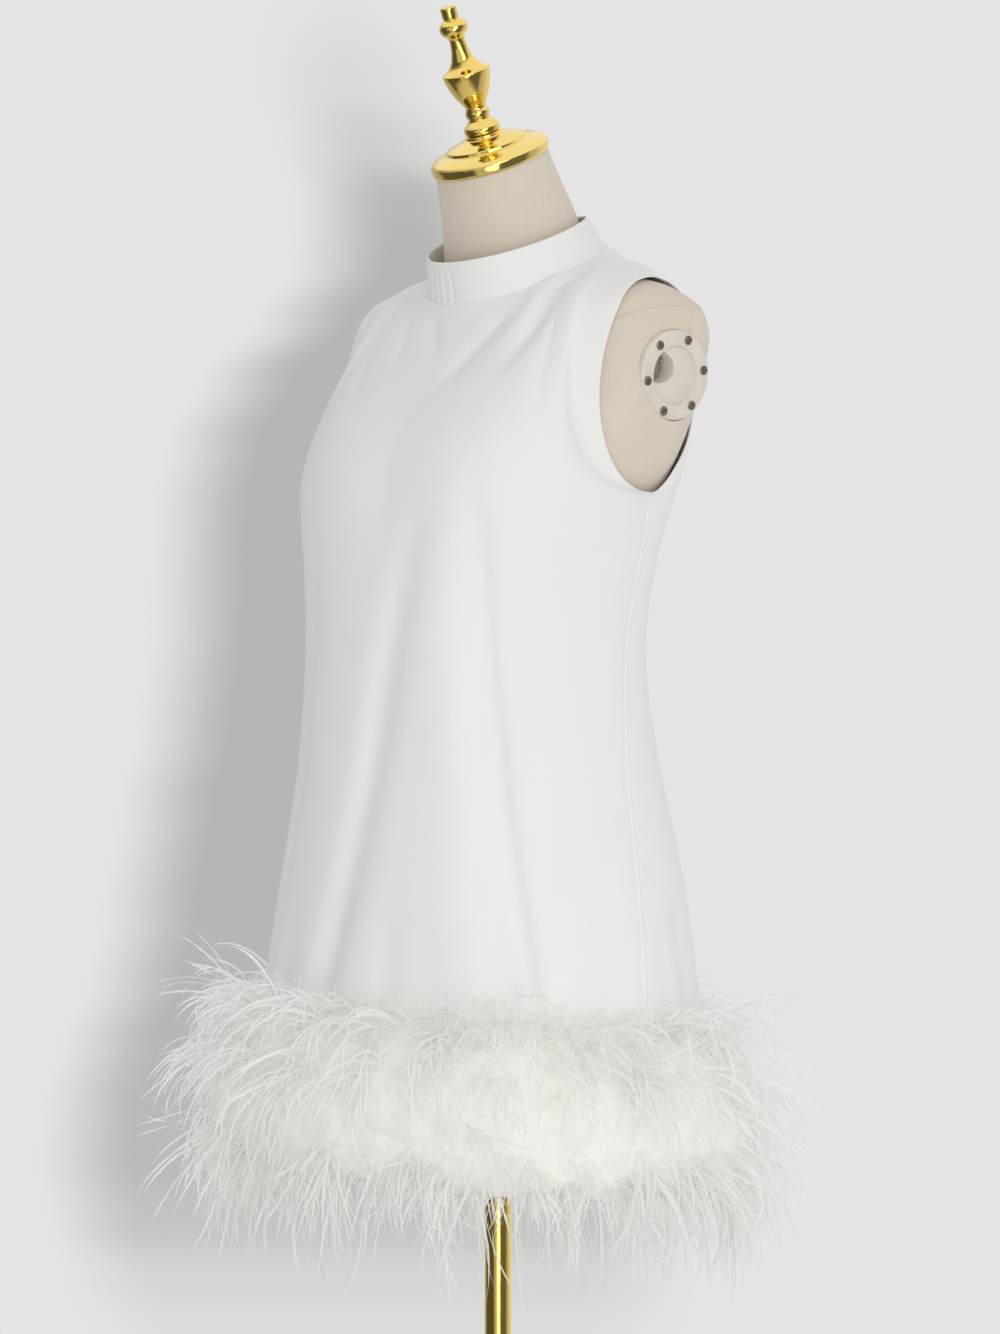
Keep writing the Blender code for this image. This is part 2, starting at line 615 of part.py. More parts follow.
def build_dress(form):
    """Build the front, the two backs and the collar on the form.

    Returns the skirt's outer points and wall directions, and the collar's points.
    """
    left_front = half_panel("front")
    left_back = half_panel("back")
    front = np.concatenate([(left_front * MIRROR)[:, ::-1], left_front[:, 1:]], axis=1)
    back = np.concatenate([left_back[:, ::-1], (left_back * MIRROR)[:, 1:]], axis=1)
    collar = collar_grid()
    for _ in range(REST_ROUNDS):
        front = rest_on_form(front, form)
        back = rest_on_form(back, form)
        collar = rest_on_form(collar, form)
    front_normals = grid_normals(front)
    back_normals = grid_normals(back)
    collar_normals = grid_normals(collar)

    # Side seams, below the underarms.
    low = slice(0, LOWER_ROWS + 1)
    share_normals(front_normals[low, -1], back_normals[low, 0])
    share_normals(front_normals[low, 0], back_normals[low, -1])
    # Shoulder seams, from the neck corner out to the tip.
    half = COLUMNS // 2
    share_normals(front_normals[-1, COLUMNS + half:], back_normals[-1, :half + 1][::-1])
    share_normals(front_normals[-1, :half + 1], back_normals[-1, COLUMNS + half:][::-1])

    # The neckline, where the collar stands on the three panels.
    share_normals(collar_normals[0, half:3 * half + 1],
                  front_normals[-1, half:3 * half + 1])
    share_normals(collar_normals[0, 3 * half:], back_normals[-1, half:COLUMNS + 1])
    share_normals(collar_normals[0, :half + 1], back_normals[-1, COLUMNS:COLUMNS + half + 1])
    for corner, there in ((half, COLUMNS + half), (3 * half, half)):
        front_normals[-1, corner] = collar_normals[0, corner]
        back_normals[-1, there] = collar_normals[0, corner]

    front = front + front_normals * fold_offset(front)[..., None]
    back = back + back_normals * fold_offset(back)[..., None]
    wall("dress_front", front, front_normals, {"first", "last", "high"})
    wall("dress_back_left", back[:, :COLUMNS + 1], back_normals[:, :COLUMNS + 1],
         {"first", "last", "high"})
    wall("dress_back_right", back[:, COLUMNS:], back_normals[:, COLUMNS:],
         {"first", "last", "high"})
    wall("collar", collar, collar_normals, {"low", "first", "last"})
    ring = np.concatenate([front, back[:, 1:]], axis=1)
    directions = np.concatenate([front_normals, back_normals[:, 1:]], axis=1)
    return ring[low], directions[low], collar


def build_collar_buttons(collar):
    """Build the two covered buttons, on the left end of the collar at centre back."""
    end, before = collar[:, -1], collar[:, -2]
    for row, name in enumerate(("collar_button_lower", "collar_button_upper")):
        facet = [Vector(point) for point in (before[row], end[row], end[row + 1],
                                             before[row + 1])]
        middle = sum(facet, Vector()) / 4
        outward = (facet[1] - facet[0]).cross(facet[3] - facet[0]).normalized()
        lean = outward.to_track_quat("Z", "Y").to_matrix().to_4x4()
        turned(name, BUTTON_PROFILE, CREPE, BUTTON_SIDES,
               Matrix.Translation(middle + outward * SEAT_GAP) @ lean)


# ---------------------------------------------------------------- feather trims

def ring_at(skirt, directions, z):
    """Points and directions round the skirt at a height above the hem's own lift."""
    points = []
    normals = []
    for column in range(skirt.shape[1]):
        heights = skirt[:, column, 2]
        level = z + (heights[0] - HEM_Z) * (TAPE_LEVEL_Z - z) / (TAPE_LEVEL_Z - HEM_Z)
        points.append([np.interp(level, heights, skirt[:, column, i]) for i in range(3)])
        normals.append([np.interp(level, heights, directions[:, column, i])
                        for i in range(3)])
    return np.array(points), unit(np.array(normals))


def build_feather_row(row, skirt, directions):
    """Build one tape round the skirt, with a drooping lock from each of its faces."""
    chance = random.Random(row.seed)
    edges = []
    for z in (row.z - TAPE_HEIGHT / 2, row.z + TAPE_HEIGHT / 2):
        points, normals = ring_at(skirt, directions, z)
        edges.append((points + normals * TAPE_GAP,
                      points + normals * (TAPE_GAP + TAPE_THICKNESS)))
    (low_in, low_out), (high_in, high_out) = edges
    count = len(low_in) - 1
    points = []
    faces = []
    for k in range(count):
        points += [low_in[k], high_in[k], low_out[k], high_out[k]]
    for k in range(count):
        here = 4 * k
        there = 4 * ((k + 1) % count)
        faces.append((here, there, there + 1, here + 1))
        faces.append((here, there, there + 2, here + 2))
        faces.append((here + 1, there + 1, there + 3, here + 3))
        root = (here + 2, there + 2, there + 3, here + 3)
        add_lock(points, faces, root, row, chance)
    add_part(f"feather_trim_{row.name}", mesh_from(row.name, points, faces), FEATHER)


def add_lock(points, faces, root, row, chance):
    """Draw one lock out of a face of the tape, through two bends to its tip."""
    corners = [Vector(points[i]) for i in root]
    middle = sum(corners, Vector()) / 4
    across = (corners[1] - corners[0]) + (corners[2] - corners[3])
    across.z = 0.0
    width = across.length / 2
    across.normalize()
    outward = Vector((across.y, -across.x, 0.0))
    length = chance.uniform(SHORTEST_LOCK, 1.0)
    sway = chance.uniform(-LOCK_SWAY, LOCK_SWAY) * width
    stations = [(0.0, 0.0)] + list(zip(row.reach, row.drop))
    ring = root
    for bend in (1, 2):
        reach, drop = stations[bend]
        before, after = stations[bend - 1], stations[bend + 1]
        run = Vector((after[0] - before[0], before[1] - after[1])).normalized()
        centre = (middle + outward * reach * length + across * sway * bend
                  - Vector((0, 0, drop * length)))
        up = outward * -run.y + Vector((0, 0, run.x))
        half_width = across * width * LOCK_WIDTHS[bend - 1]
        half_depth = up * LOCK_DEPTHS[bend - 1]
        start = len(points)
        points += [centre - half_width - half_depth, centre + half_width - half_depth,
                   centre + half_width + half_depth, centre - half_width + half_depth]
        new_ring = tuple(range(start, start + 4))
        for i in range(4):
            j = (i + 1) % 4
            faces.append((ring[i], ring[j], new_ring[j], new_ring[i]))
        ring = new_ring
    reach, drop = stations[3]
    tip = (middle + outward * reach * length + across * sway * 3
           - Vector((0, 0, drop * length)))
    points.append(tip)
    for i in range(4):
        faces.append((ring[i], ring[(i + 1) % 4], len(points) - 1))


# ---------------------------------------------------------------- dress form

def torso_ring(row, sides):
    """Points of one ring of the torso or neck."""
    angle = np.linspace(0, 2 * math.pi, sides, endpoint=False)
    power = 2.0 / row.squareness
    depth = np.where(np.cos(angle) > 0, row.front, row.back)
    along = -depth * signed_power(np.cos(angle), power)
    x = row.half_width * signed_power(np.sin(angle), power) * (1 + row.taper * along)
    # On the shoulders a ring is level at its sides; up the neck it is flat.
    curl = 1.0 - smooth_step((row.z - NECK_ROOT_Z) / NECK_ROOT_BLEND)
    behind = SHOULDER_FALL + (1 - SHOULDER_FALL) * smooth_step((row.z - NECK_ROOT_Z + 0.004) / 0.026)
    behind = np.where(along > 0, behind, 1.0)
    rise = row.slope * along * (1 - curl + curl * np.abs(np.cos(angle))) * behind
    return np.stack([x, row.middle + along, row.z + rise], axis=-1)


def build_torso():
    """Build the torso with its neck, its pole socket and the pockets of the arm plates.

    Returns its uncut surface, for the cloth to rest on.
    """
    points = []
    for row in TORSO_RINGS:
        points += list(torso_ring(row, TORSO_SIDES))
    faces = []
    for row in range(len(TORSO_RINGS) - 1):
        for side in range(TORSO_SIDES):
            here = row * TORSO_SIDES + side
            there = row * TORSO_SIDES + (side + 1) % TORSO_SIDES
            faces.append((here, there, there + TORSO_SIDES, here + TORSO_SIDES))
    faces.append(tuple(reversed(range(TORSO_SIDES))))
    last = (len(TORSO_RINGS) - 1) * TORSO_SIDES
    faces.append(tuple(range(last, last + TORSO_SIDES)))
    torso = add_part("form_torso", mesh_from("form_torso", points, faces), LINEN)

    socket = cylinder_mesh("pole_socket", POLE_RADIUS + SEAT_GAP, 2 * TORSO_SOCKET_DEPTH,
                           POLE_SIDES)
    cut(torso, add_cutter("pole_socket", socket,
                          Matrix.Translation((0, 0, TORSO_BOTTOM))))
    for name, hand in (("left", 1), ("right", -1)):
        pocket = add_cutter(f"plate_pocket_{name}", profile_mesh("plate_pocket", PLATE_POCKET),
                            plate_frame(hand))
        turn(pocket, PLATE_SIDES)
        cut(torso, pocket)
    return BVHTree.FromPolygons(points, faces)


def plate_frame(hand):
    """Frame of an arm plate, its +Z outwards; hand is 1 on the left and -1 on the right."""
    outward = Vector((hand * math.cos(PLATE_TILT) * math.cos(PLATE_FACING),
                      -math.cos(PLATE_TILT) * math.sin(PLATE_FACING),
                      -math.sin(PLATE_TILT)))
    lean = outward.to_track_quat("Z", "Y").to_matrix().to_4x4()
    return Matrix.Translation((hand * PLATE_MIDDLE.x, PLATE_MIDDLE.y, PLATE_MIDDLE.z)) @ lean


def build_arm_plates():
    """Build the two moulded plates and the screws that hold them."""
    for name, hand in (("left", 1), ("right", -1)):
        frame = plate_frame(hand)
        turned(f"arm_plate_{name}", PLATE_PROFILE, PLASTIC, PLATE_SIDES, frame)
        for k in range(SCREWS):
            turn = 2 * math.pi * (k + SCREW_TURN) / SCREWS
            seat = Matrix.Translation((SCREW_CIRCLE * math.cos(turn),
                                       SCREW_CIRCLE * math.sin(turn), 0.0022 + SEAT_GAP))
            turned(f"arm_screw_{name}_{k + 1}", SCREW_PROFILE, BRONZE, SCREW_SIDES,
                   frame @ seat)


def build_neck_top():
    """Build the cap on the neck and the turned finial on it."""
    frame = Matrix.Translation(CAP_MIDDLE) @ Matrix.Rotation(CAP_LEAN, 4, "X")
    turned("neck_cap", CAP_PROFILE, GOLD, CAP_SIDES, frame)
    turned("finial", FINIAL_PROFILE, GOLD, FINIAL_SIDES, frame)


def build_stand():
    """Build the pole and the round base that it stands in."""
    low = BASE_SOCKET_FLOOR + SEAT_GAP
    high = TORSO_BOTTOM + TORSO_SOCKET_DEPTH - SEAT_GAP
    pole = add_part("stand_pole", cylinder_mesh("stand_pole", POLE_RADIUS, high - low,
                                                   POLE_SIDES), GOLD)
    pole.location.z = (low + high) / 2
    turned("stand_base", BASE_PROFILE, GOLD, BASE_SIDES)


form_surface = build_torso()
skirt, skirt_directions, collar_points = build_dress(form_surface)
build_collar_buttons(collar_points)
for feather_row in FEATHER_ROWS:
    build_feather_row(feather_row, skirt, skirt_directions)
build_arm_plates()
build_neck_top()
build_stand()
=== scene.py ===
"""Sleeveless shift dress with a stand collar and an ostrich-feather hem, on a limbless dress form.

Metres, +Z up. The form faces -Y and the wearer's left is +X.
"""
import math
from collections import namedtuple

import bmesh
import bpy
import numpy as np
from mathutils import Matrix, Vector, noise
from mathutils.bvhtree import BVHTree


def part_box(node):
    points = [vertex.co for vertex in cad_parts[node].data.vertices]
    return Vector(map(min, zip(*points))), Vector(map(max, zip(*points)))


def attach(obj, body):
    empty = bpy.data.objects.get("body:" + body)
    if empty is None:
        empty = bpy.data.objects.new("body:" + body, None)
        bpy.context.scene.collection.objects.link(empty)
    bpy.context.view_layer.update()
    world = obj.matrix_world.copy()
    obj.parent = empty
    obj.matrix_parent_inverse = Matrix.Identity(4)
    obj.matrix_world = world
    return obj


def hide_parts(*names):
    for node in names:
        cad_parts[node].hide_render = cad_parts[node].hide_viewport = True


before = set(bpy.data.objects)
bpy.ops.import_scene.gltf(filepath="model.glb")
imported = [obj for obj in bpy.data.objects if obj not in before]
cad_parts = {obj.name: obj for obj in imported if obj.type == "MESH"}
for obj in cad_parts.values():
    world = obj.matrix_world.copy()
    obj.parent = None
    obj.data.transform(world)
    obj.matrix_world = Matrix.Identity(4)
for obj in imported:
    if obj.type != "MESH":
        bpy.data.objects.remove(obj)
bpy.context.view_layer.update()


# ------------------------------------------------------------------ stand base
# The base is a heavy disc, spun from steel over an iron weight and plated in polished
# brass. Its hub is a short turned socket that the pole is pressed into.

BASE_PROFILE = [(0.0, 0.0500), (0.0200, 0.0500), (0.0225, 0.0470), (0.0235, 0.0300),
                (0.0320, 0.0210), (0.0600, 0.0165), (0.1500, 0.0120), (0.1670, 0.0095),
                (0.1700, 0.0060), (0.1700, 0.0015), (0.1685, 0.0), (0.0, 0.0)]
TURNED_SIDES = 128
BASE_ROUNDING = 0.0016    # most that its edges are rounded back by
ROUNDING_SHARE = 0.45     # and the share of each side that the rounding may take
CRISP_EDGE = math.radians(50)


def eased(profile, share, most):
    """Round a profile's corners, over a share of the sides beside each, up to most."""
    points = [Vector(point) for point in profile]
    line = [points[0]]
    for before, corner, after in zip(points, points[1:], points[2:]):
        back, onward = before - corner, after - corner
        start = corner + back.normalized() * min(most, share * back.length)
        end = corner + onward.normalized() * min(most, share * onward.length)
        for t in (0.0, 0.25, 0.5, 0.75, 1.0):
            line.append(start * (1 - t) ** 2 + corner * 2 * t * (1 - t) + end * t * t)
    line.append(points[-1])
    return line


def add_to_scene(name, made_of):
    """Add a piece to the scene from its mesh, or a lamp or the camera from its settings."""
    piece = bpy.data.objects.new(name, made_of)
    bpy.context.scene.collection.objects.link(piece)
    return piece


def turned(name, profile, sides, place=Matrix.Identity(4)):
    """Turn a profile of (radius, height) points, from the top down, about its own +Z."""
    points = []
    rings = []
    for radius, height in profile:
        start = len(points)
        count = 1 if radius < 1e-6 else sides
        for k in range(count):
            turn = 2 * math.pi * k / sides
            x, y = radius * math.cos(turn), radius * math.sin(turn)
            points.append(place @ Vector((x, y, height)))
        rings.append([start + k % count for k in range(sides + 1)])
    faces = []
    for high, low in zip(rings, rings[1:]):
        for k in range(sides):
            corners = (high[k], low[k], low[k + 1], high[k + 1])
            faces.append(tuple(dict.fromkeys(corners)))
    mesh = bpy.data.meshes.new(name)
    mesh.from_pydata(points, [], [face for face in faces if len(face) > 2])
    mesh.shade_smooth()
    mesh.set_sharp_from_angle(angle=CRISP_EDGE)
    return add_to_scene(name, mesh)


def node_adder(tree):
    """Return a function that adds nodes to a material's tree, or to the room's."""
    def node(kind, inputs=None, **settings):
        """Add a node, its settings given by name and its inputs by socket."""
        made = tree.nodes.new(f"ShaderNode{kind}")
        for key, value in settings.items():
            setattr(made, key, value)
        for socket, value in (inputs or {}).items():
            if isinstance(value, bpy.types.NodeSocket):
                tree.links.new(value, made.inputs[socket])
            else:
                made.inputs[socket].default_value = value
        return made
    return node


def surface(name, colour, roughness, metallic=0.0):
    """Start a material, and return it with its shader and a function that adds nodes."""
    material = bpy.data.materials.new(name)
    material.use_nodes = True
    shader = material.node_tree.nodes["Principled BSDF"]
    shader.inputs["Base Color"].default_value = (*colour, 1.0)
    shader.inputs["Roughness"].default_value = roughness
    shader.inputs["Metallic"].default_value = metallic
    return material, shader, node_adder(material.node_tree)


def blotches(node, scale, low, high, stretch=(1.0, 1.0, 1.0), detail=4.0):
    """Soft uneven patches in the object's own space, mapped from low to high."""
    place = node("TexCoord").outputs["Object"]
    stretched = node("Mapping", {"Vector": place, "Scale": stretch})
    mottle = node("TexNoise", {"Vector": stretched.outputs["Vector"], "Scale": scale,
                               "Detail": detail})
    ramp = node("MapRange", {"Value": mottle.outputs["Fac"], "From Min": 0.3, "From Max": 0.7,
                             "To Min": low, "To Max": high})
    return ramp.outputs["Result"]


def blend(node, factor, one, other, **settings):
    """Blend two colours, or two colour sockets, by a factor."""
    inputs = {"Factor": factor}
    for socket, colour in (("A", one), ("B", other)):
        inputs[socket] = (*colour, 1.0) if isinstance(colour, tuple) else colour
    return node("Mix", inputs, data_type="RGBA", **settings).outputs["Result"]


def raised(node, height, strength, distance, under=None):
    """Raise a skin by a height: the bumped normal, on top of another where one is given."""
    inputs = {"Height": height, "Strength": strength, "Distance": distance}
    if under is not None:
        inputs["Normal"] = under
    return node("Bump", inputs).outputs["Normal"]


def brass_plate(name, grain):
    """Mirror-bright brass plating: faint polishing haze, tiny pits and orange-peel waves."""
    material, shader, node = surface(name, (0.93, 0.68, 0.20), 0.08, 1.0)
    links = material.node_tree.links
    links.new(blotches(node, 26.0, 0.05, 0.12), shader.inputs["Roughness"])
    tone = blend(node, blotches(node, 9.0, 0.0, 1.0), (0.95, 0.73, 0.24), (0.92, 0.65, 0.15))
    links.new(tone, shader.inputs["Base Color"])
    waves = raised(node, blotches(node, grain, 0.0, 1.0), 0.05, 0.001)
    links.new(waves, shader.inputs["Normal"])
    return material


base = turned("base_disc", eased(BASE_PROFILE, ROUNDING_SHARE, BASE_ROUNDING), TURNED_SIDES)
base.data.materials.append(brass_plate("base plating", 60.0))
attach(base, "root")
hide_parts("stand_base")


# ------------------------------------------------------------------ pole
# The pole is a length of drawn brass tube, polished along its length. It stands in the
# base's hub and runs up into the wooden bottom of the form.

POLE_RADIUS = 0.0122
POLE_SIDES = 96
pole_low, pole_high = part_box("stand_pole")
POLE_PROFILE = [(0.0, pole_high.z), (POLE_RADIUS, pole_high.z), (POLE_RADIUS, pole_low.z),
                (0.0, pole_low.z)]
pole = turned("pole_tube", POLE_PROFILE, POLE_SIDES)
pole.data.materials.append(brass_plate("pole brass", 90.0))
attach(pole, "root")
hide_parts("stand_pole")


# ------------------------------------------------------------------ torso of the form
# The torso and neck are moulded foam under a tight cover of natural linen, cut in panels.
# The cover is seamed round the shoulders and up the sides, and glued under at the arm cuts.

# Rings of the torso, from its bottom to the top of the neck. Each has its height, half
# width, the y of its middle, its depths in front and behind, how square it is, how much
# it slopes up towards the back, and how much it narrows towards the front.
Ring = namedtuple("Ring", "z half_width middle front back squareness slope taper")
TORSO_RINGS = [
    Ring(0.705, 0.142, 0.000, 0.090, 0.094, 2.1, 0.00, 0.0),
    Ring(0.715, 0.152, 0.000, 0.100, 0.104, 2.1, 0.00, 0.0),
    Ring(0.780, 0.164, -0.002, 0.106, 0.116, 2.1, 0.00, 0.0),
    Ring(0.850, 0.166, -0.002, 0.106, 0.112, 2.1, 0.00, 0.0),
    Ring(0.940, 0.143, -0.006, 0.098, 0.090, 2.1, 0.00, 0.0),
    Ring(1.036, 0.118, -0.012, 0.086, 0.074, 2.1, 0.00, 0.0),
    Ring(1.100, 0.133, -0.008, 0.098, 0.080, 2.2, 0.00, 0.0),
    Ring(1.165, 0.157, -0.002, 0.114, 0.098, 2.4, 0.00, 0.2),
    Ring(1.200, 0.166, 0.006, 0.116, 0.100, 2.6, 0.00, 0.5),
    Ring(1.240, 0.174, 0.018, 0.110, 0.092, 2.8, 0.05, 0.9),
    Ring(1.285, 0.178, 0.030, 0.104, 0.082, 3.0, 0.16, 1.4),
    Ring(1.318, 0.179, 0.036, 0.098, 0.074, 3.0, 0.24, 1.6),
    Ring(1.338, 0.173, 0.038, 0.092, 0.068, 2.8, 0.26, 1.4),
    Ring(1.351, 0.161, 0.038, 0.086, 0.062, 2.2, 0.28, 0.6),
    Ring(1.358, 0.145, 0.038, 0.082, 0.062, 2.0, 0.30, 0.2),
    Ring(1.364, 0.104, 0.036, 0.076, 0.064, 2.0, 0.36, 0.0),
    Ring(1.370, 0.082, 0.031, 0.068, 0.064, 2.0, 0.42, 0.0),
    Ring(1.380, 0.0700, 0.028, 0.062, 0.063, 2.0, 0.45, 0.0),
    Ring(1.408, 0.0620, 0.019, 0.060, 0.062, 2.0, 0.46, 0.0),
    Ring(1.440, 0.0560, 0.005, 0.054, 0.056, 2.0, 0.47, 0.0),
    Ring(1.4732, 0.0525, -0.0101, 0.0470, 0.0470, 2.0, 0.4986, 0.0),
]
NECK_ROOT_Z = 1.360
NECK_ROOT_BLEND = 0.050   # height over which the shoulders' slope becomes the neck's
SHOULDER_FALL = 0.15      # share of its slope that a shoulder ring keeps behind the shoulder
FALL_START = 0.004        # the fall fades out from this far under the neck's root
FALL_BLEND = 0.026        # over this height
TORSO_ROWS = 230
TORSO_SIDES = 216
SIDES = (("left", 1), ("right", -1))    # the wearer's, and which way each lies in x

THREAD = 0.00075          # pitch of the linen's threads
SLUB_LENGTH = 0.045       # how finely a thread's thickness changes along it, against across
LINEN_DARK = (0.705, 0.620, 0.520)
LINEN_LIGHT = (0.765, 0.680, 0.580)
LINEN_PATCH = (0.72, 0.61, 0.515)

# An arm cut: the middle of its plate, which way that faces, forwards and down, and the
# pocket that is cut for it, as a profile of (radius, height) over the plate's own plane.
ARM_PLATE_MIDDLE = Vector((0.1756, 0.0275, 1.2705))
ARM_PLATE_FACING = math.radians(13.0)
ARM_PLATE_TILT = math.radians(8.0)
ARM_POCKET = [(0.0, 0.0300), (0.0408, 0.0300), (0.0408, -0.0063), (0.0280, -0.0063),
              (0.0280, -0.0163), (0.0, -0.0163)]
POCKET_SIDES = 64


def smooth_step(value):
    """Run from 0 to 1 with flat ends."""
    value = np.clip(value, 0.0, 1.0)
    return value * value * (3 - 2 * value)


def signed_power(value, power):
    """Raise a number to a power and keep its sign."""
    return np.sign(value) * np.abs(value) ** power


def hermite(places, values, wanted):
    """Read a table of values on a smooth curve through its rows."""
    places = np.asarray(places, float)
    values = np.asarray(values, float)
    slopes = np.gradient(values, places)
    wanted = np.clip(wanted, places[0], places[-1])
    row = np.clip(np.searchsorted(places, wanted) - 1, 0, len(places) - 2)
    span = places[row + 1] - places[row]
    t = (wanted - places[row]) / span
    return ((1 + 2 * t) * (1 - t) ** 2 * values[row] + t * (1 - t) ** 2 * span * slopes[row]
            + t * t * (3 - 2 * t) * values[row + 1] + t * t * (t - 1) * span * slopes[row + 1])


def torso_grid():
    """Rings of the torso and neck, at even steps up the outline, each from centre back."""
    table = np.array(TORSO_RINGS)
    climb = np.hypot(np.diff(table[:, 0]), np.diff(table[:, 1]))
    climb = np.concatenate([[0.0], np.cumsum(climb)])
    wanted = np.linspace(0.0, climb[-1], TORSO_ROWS)[:, None]
    z, half_width, middle, front, back, squareness, slope, taper = (
        hermite(climb, table[:, i], wanted) for i in range(8))
    angle = np.linspace(-math.pi, math.pi, TORSO_SIDES + 1)[None, :]
    power = 2.0 / squareness
    depth = np.where(np.cos(angle) > 0, front, back)
    along = -depth * signed_power(np.cos(angle), power)
    x = half_width * signed_power(np.sin(angle), power) * (1 + taper * along)
    curl = 1.0 - smooth_step((z - NECK_ROOT_Z) / NECK_ROOT_BLEND)
    fade = smooth_step((z - NECK_ROOT_Z + FALL_START) / FALL_BLEND)
    behind = SHOULDER_FALL + (1 - SHOULDER_FALL) * fade
    level = 1 - curl + curl * np.abs(np.cos(angle))
    rise = slope * along * level * np.where(along > 0, behind, 1.0)
    return np.stack([x, middle + along, z + rise], axis=-1)


def lengths(grid, axis):
    """Distance along a grid's rows or columns, from their first points."""
    steps = np.linalg.norm(np.diff(grid, axis=axis), axis=-1)
    start = np.zeros_like(np.take(steps, [0], axis))
    return np.concatenate([start, np.cumsum(steps, axis=axis)], axis=axis)


def plate_place(hand):
    """Frame of an arm plate, its +Z outwards; hand is 1 on the left and -1 on the right."""
    outward = Vector((hand * math.cos(ARM_PLATE_TILT) * math.cos(ARM_PLATE_FACING),
                      -math.cos(ARM_PLATE_TILT) * math.sin(ARM_PLATE_FACING),
                      -math.sin(ARM_PLATE_TILT)))
    lean = outward.to_track_quat("Z", "Y").to_matrix().to_4x4()
    middle = Vector((hand * ARM_PLATE_MIDDLE.x, ARM_PLATE_MIDDLE.y, ARM_PLATE_MIDDLE.z))
    return Matrix.Translation(middle) @ lean


def linen_cloth(name, darker=1.0):
    """Natural linen: a plain weave with thick and thin threads, and slightly mottled."""
    material, shader, node = surface(name, (0.72, 0.635, 0.54), 0.86)
    links = material.node_tree.links
    shader.inputs["Sheen Weight"].default_value = 0.25
    shader.inputs["Sheen Roughness"].default_value = 0.5
    shader.inputs["Specular IOR Level"].default_value = 0.25
    cover = node("UVMap", uv_map="cover").outputs["UV"]
    threads = []
    for turn, seed in ((0.0, 3.0), (math.pi / 2, 8.0)):
        yarn = node("Mapping", {"Vector": cover, "Rotation": (0.0, 0.0, turn),
                                "Location": (seed, seed, 0.0)}).outputs["Vector"]
        slub = node("Mapping", {"Vector": yarn, "Scale": (1.0, SLUB_LENGTH, 1.0)})
        uneven = node("TexNoise", {"Vector": slub.outputs["Vector"], "Scale": 0.45 / THREAD,
                                   "Detail": 2.0})
        thread = node("TexWave", {"Vector": yarn, "Scale": 0.314 / THREAD, "Distortion": 0.6,
                                  "Detail": 1.0},
                      wave_type="BANDS", bands_direction="X", wave_profile="SIN")
        threads.append((uneven.outputs["Fac"], thread.outputs["Fac"]))
    slubs = node("Math", {0: threads[0][0], 1: threads[1][0]}, operation="ADD").outputs["Value"]
    weave = node("Math", {0: threads[0][1], 1: threads[1][1]}, operation="MAXIMUM")
    height = node("Math", {0: weave.outputs["Value"], 1: slubs}, operation="MULTIPLY")
    links.new(raised(node, height.outputs["Value"], 0.16, 0.0005), shader.inputs["Normal"])
    shade = node("MapRange", {"Value": slubs, "From Min": 0.6, "From Max": 1.4})
    dark, light, patch = (tuple(channel * darker for channel in colour)
                          for colour in (LINEN_DARK, LINEN_LIGHT, LINEN_PATCH))
    colour = blend(node, shade.outputs["Result"], dark, light)
    patchy = blend(node, blotches(node, 11.0, 0.0, 0.35), colour, patch)
    links.new(patchy, shader.inputs["Base Color"])
    return material


def lay_map(mesh, map_name, cloth_map):
    """Give a mesh its cloth map: a flat place in metres for each of its points."""
    layer = mesh.uv_layers.new(name=map_name)
    corner_points = np.zeros(len(mesh.loops), int)
    mesh.loops.foreach_get("vertex_index", corner_points)
    layer.uv.foreach_set("vector", cloth_map[corner_points].astype(np.float32).ravel())


def grid_faces(rows, columns):
    """Corners of the faces of a grid of points, row by row."""
    place = np.arange(rows * columns).reshape(rows, columns)
    corners = np.stack([place[:-1, :-1], place[:-1, 1:], place[1:, 1:], place[1:, :-1]], axis=-1)
    return place, corners.reshape(-1, 4)


def sheet_mesh(name, grid, map_name):
    """Mesh of a grid of points, with its cloth map in metres along rows and columns."""
    corners = grid_faces(*grid.shape[:2])[1]
    mesh = bpy.data.meshes.new(name)
    mesh.from_pydata(grid.reshape(-1, 3), [], corners.tolist())
    across = lengths(grid, 1)
    across = across - across.mean(axis=1, keepdims=True)
    lay_map(mesh, map_name, np.stack([across, lengths(grid, 0)], axis=-1).reshape(-1, 2))
    return mesh


form_points = torso_grid()
form_skin = sheet_mesh("form_skin", form_points, "cover")
form_tree = BVHTree.FromPolygons([tuple(p) for p in form_points.reshape(-1, 3)],
                                 [tuple(p.vertices) for p in form_skin.polygons])


def close_torso(mesh):
    """Weld the seam at centre back, and close the bottom and the top of the neck."""
    shape = bmesh.new()
    shape.from_mesh(mesh)
    bmesh.ops.remove_doubles(shape, verts=shape.verts, dist=1e-6)
    rims = [edge for edge in shape.edges if edge.is_boundary]
    bmesh.ops.holes_fill(shape, edges=rims, sides=0)
    bmesh.ops.recalc_face_normals(shape, faces=shape.faces)
    shape.to_mesh(mesh)
    shape.free()


close_torso(form_skin)
torso = add_to_scene("form_body", form_skin)
for _, hand in SIDES:
    cutter = turned("arm_pocket", ARM_POCKET, POCKET_SIDES, plate_place(hand))
    pocket = torso.modifiers.new("pocket", "BOOLEAN")
    pocket.operation = "DIFFERENCE"
    pocket.object = cutter
    depsgraph = bpy.context.evaluated_depsgraph_get()
    carved = bpy.data.meshes.new_from_object(torso.evaluated_get(depsgraph))
    torso.modifiers.clear()
    torso.data = carved
    bpy.data.objects.remove(cutter, do_unlink=True)
torso.data.shade_smooth()
torso.data.set_sharp_from_angle(angle=CRISP_EDGE)
torso.data.materials.clear()
torso.data.materials.append(linen_cloth("linen cover"))
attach(torso, "root")
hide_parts("form_torso")


# ------------------------------------------------------------------ seams of the cover
# The cover's panels are joined by narrow felled seams, which stand a little proud: one
# runs round each shoulder above the arm cut, and one from it down to the arm plate.

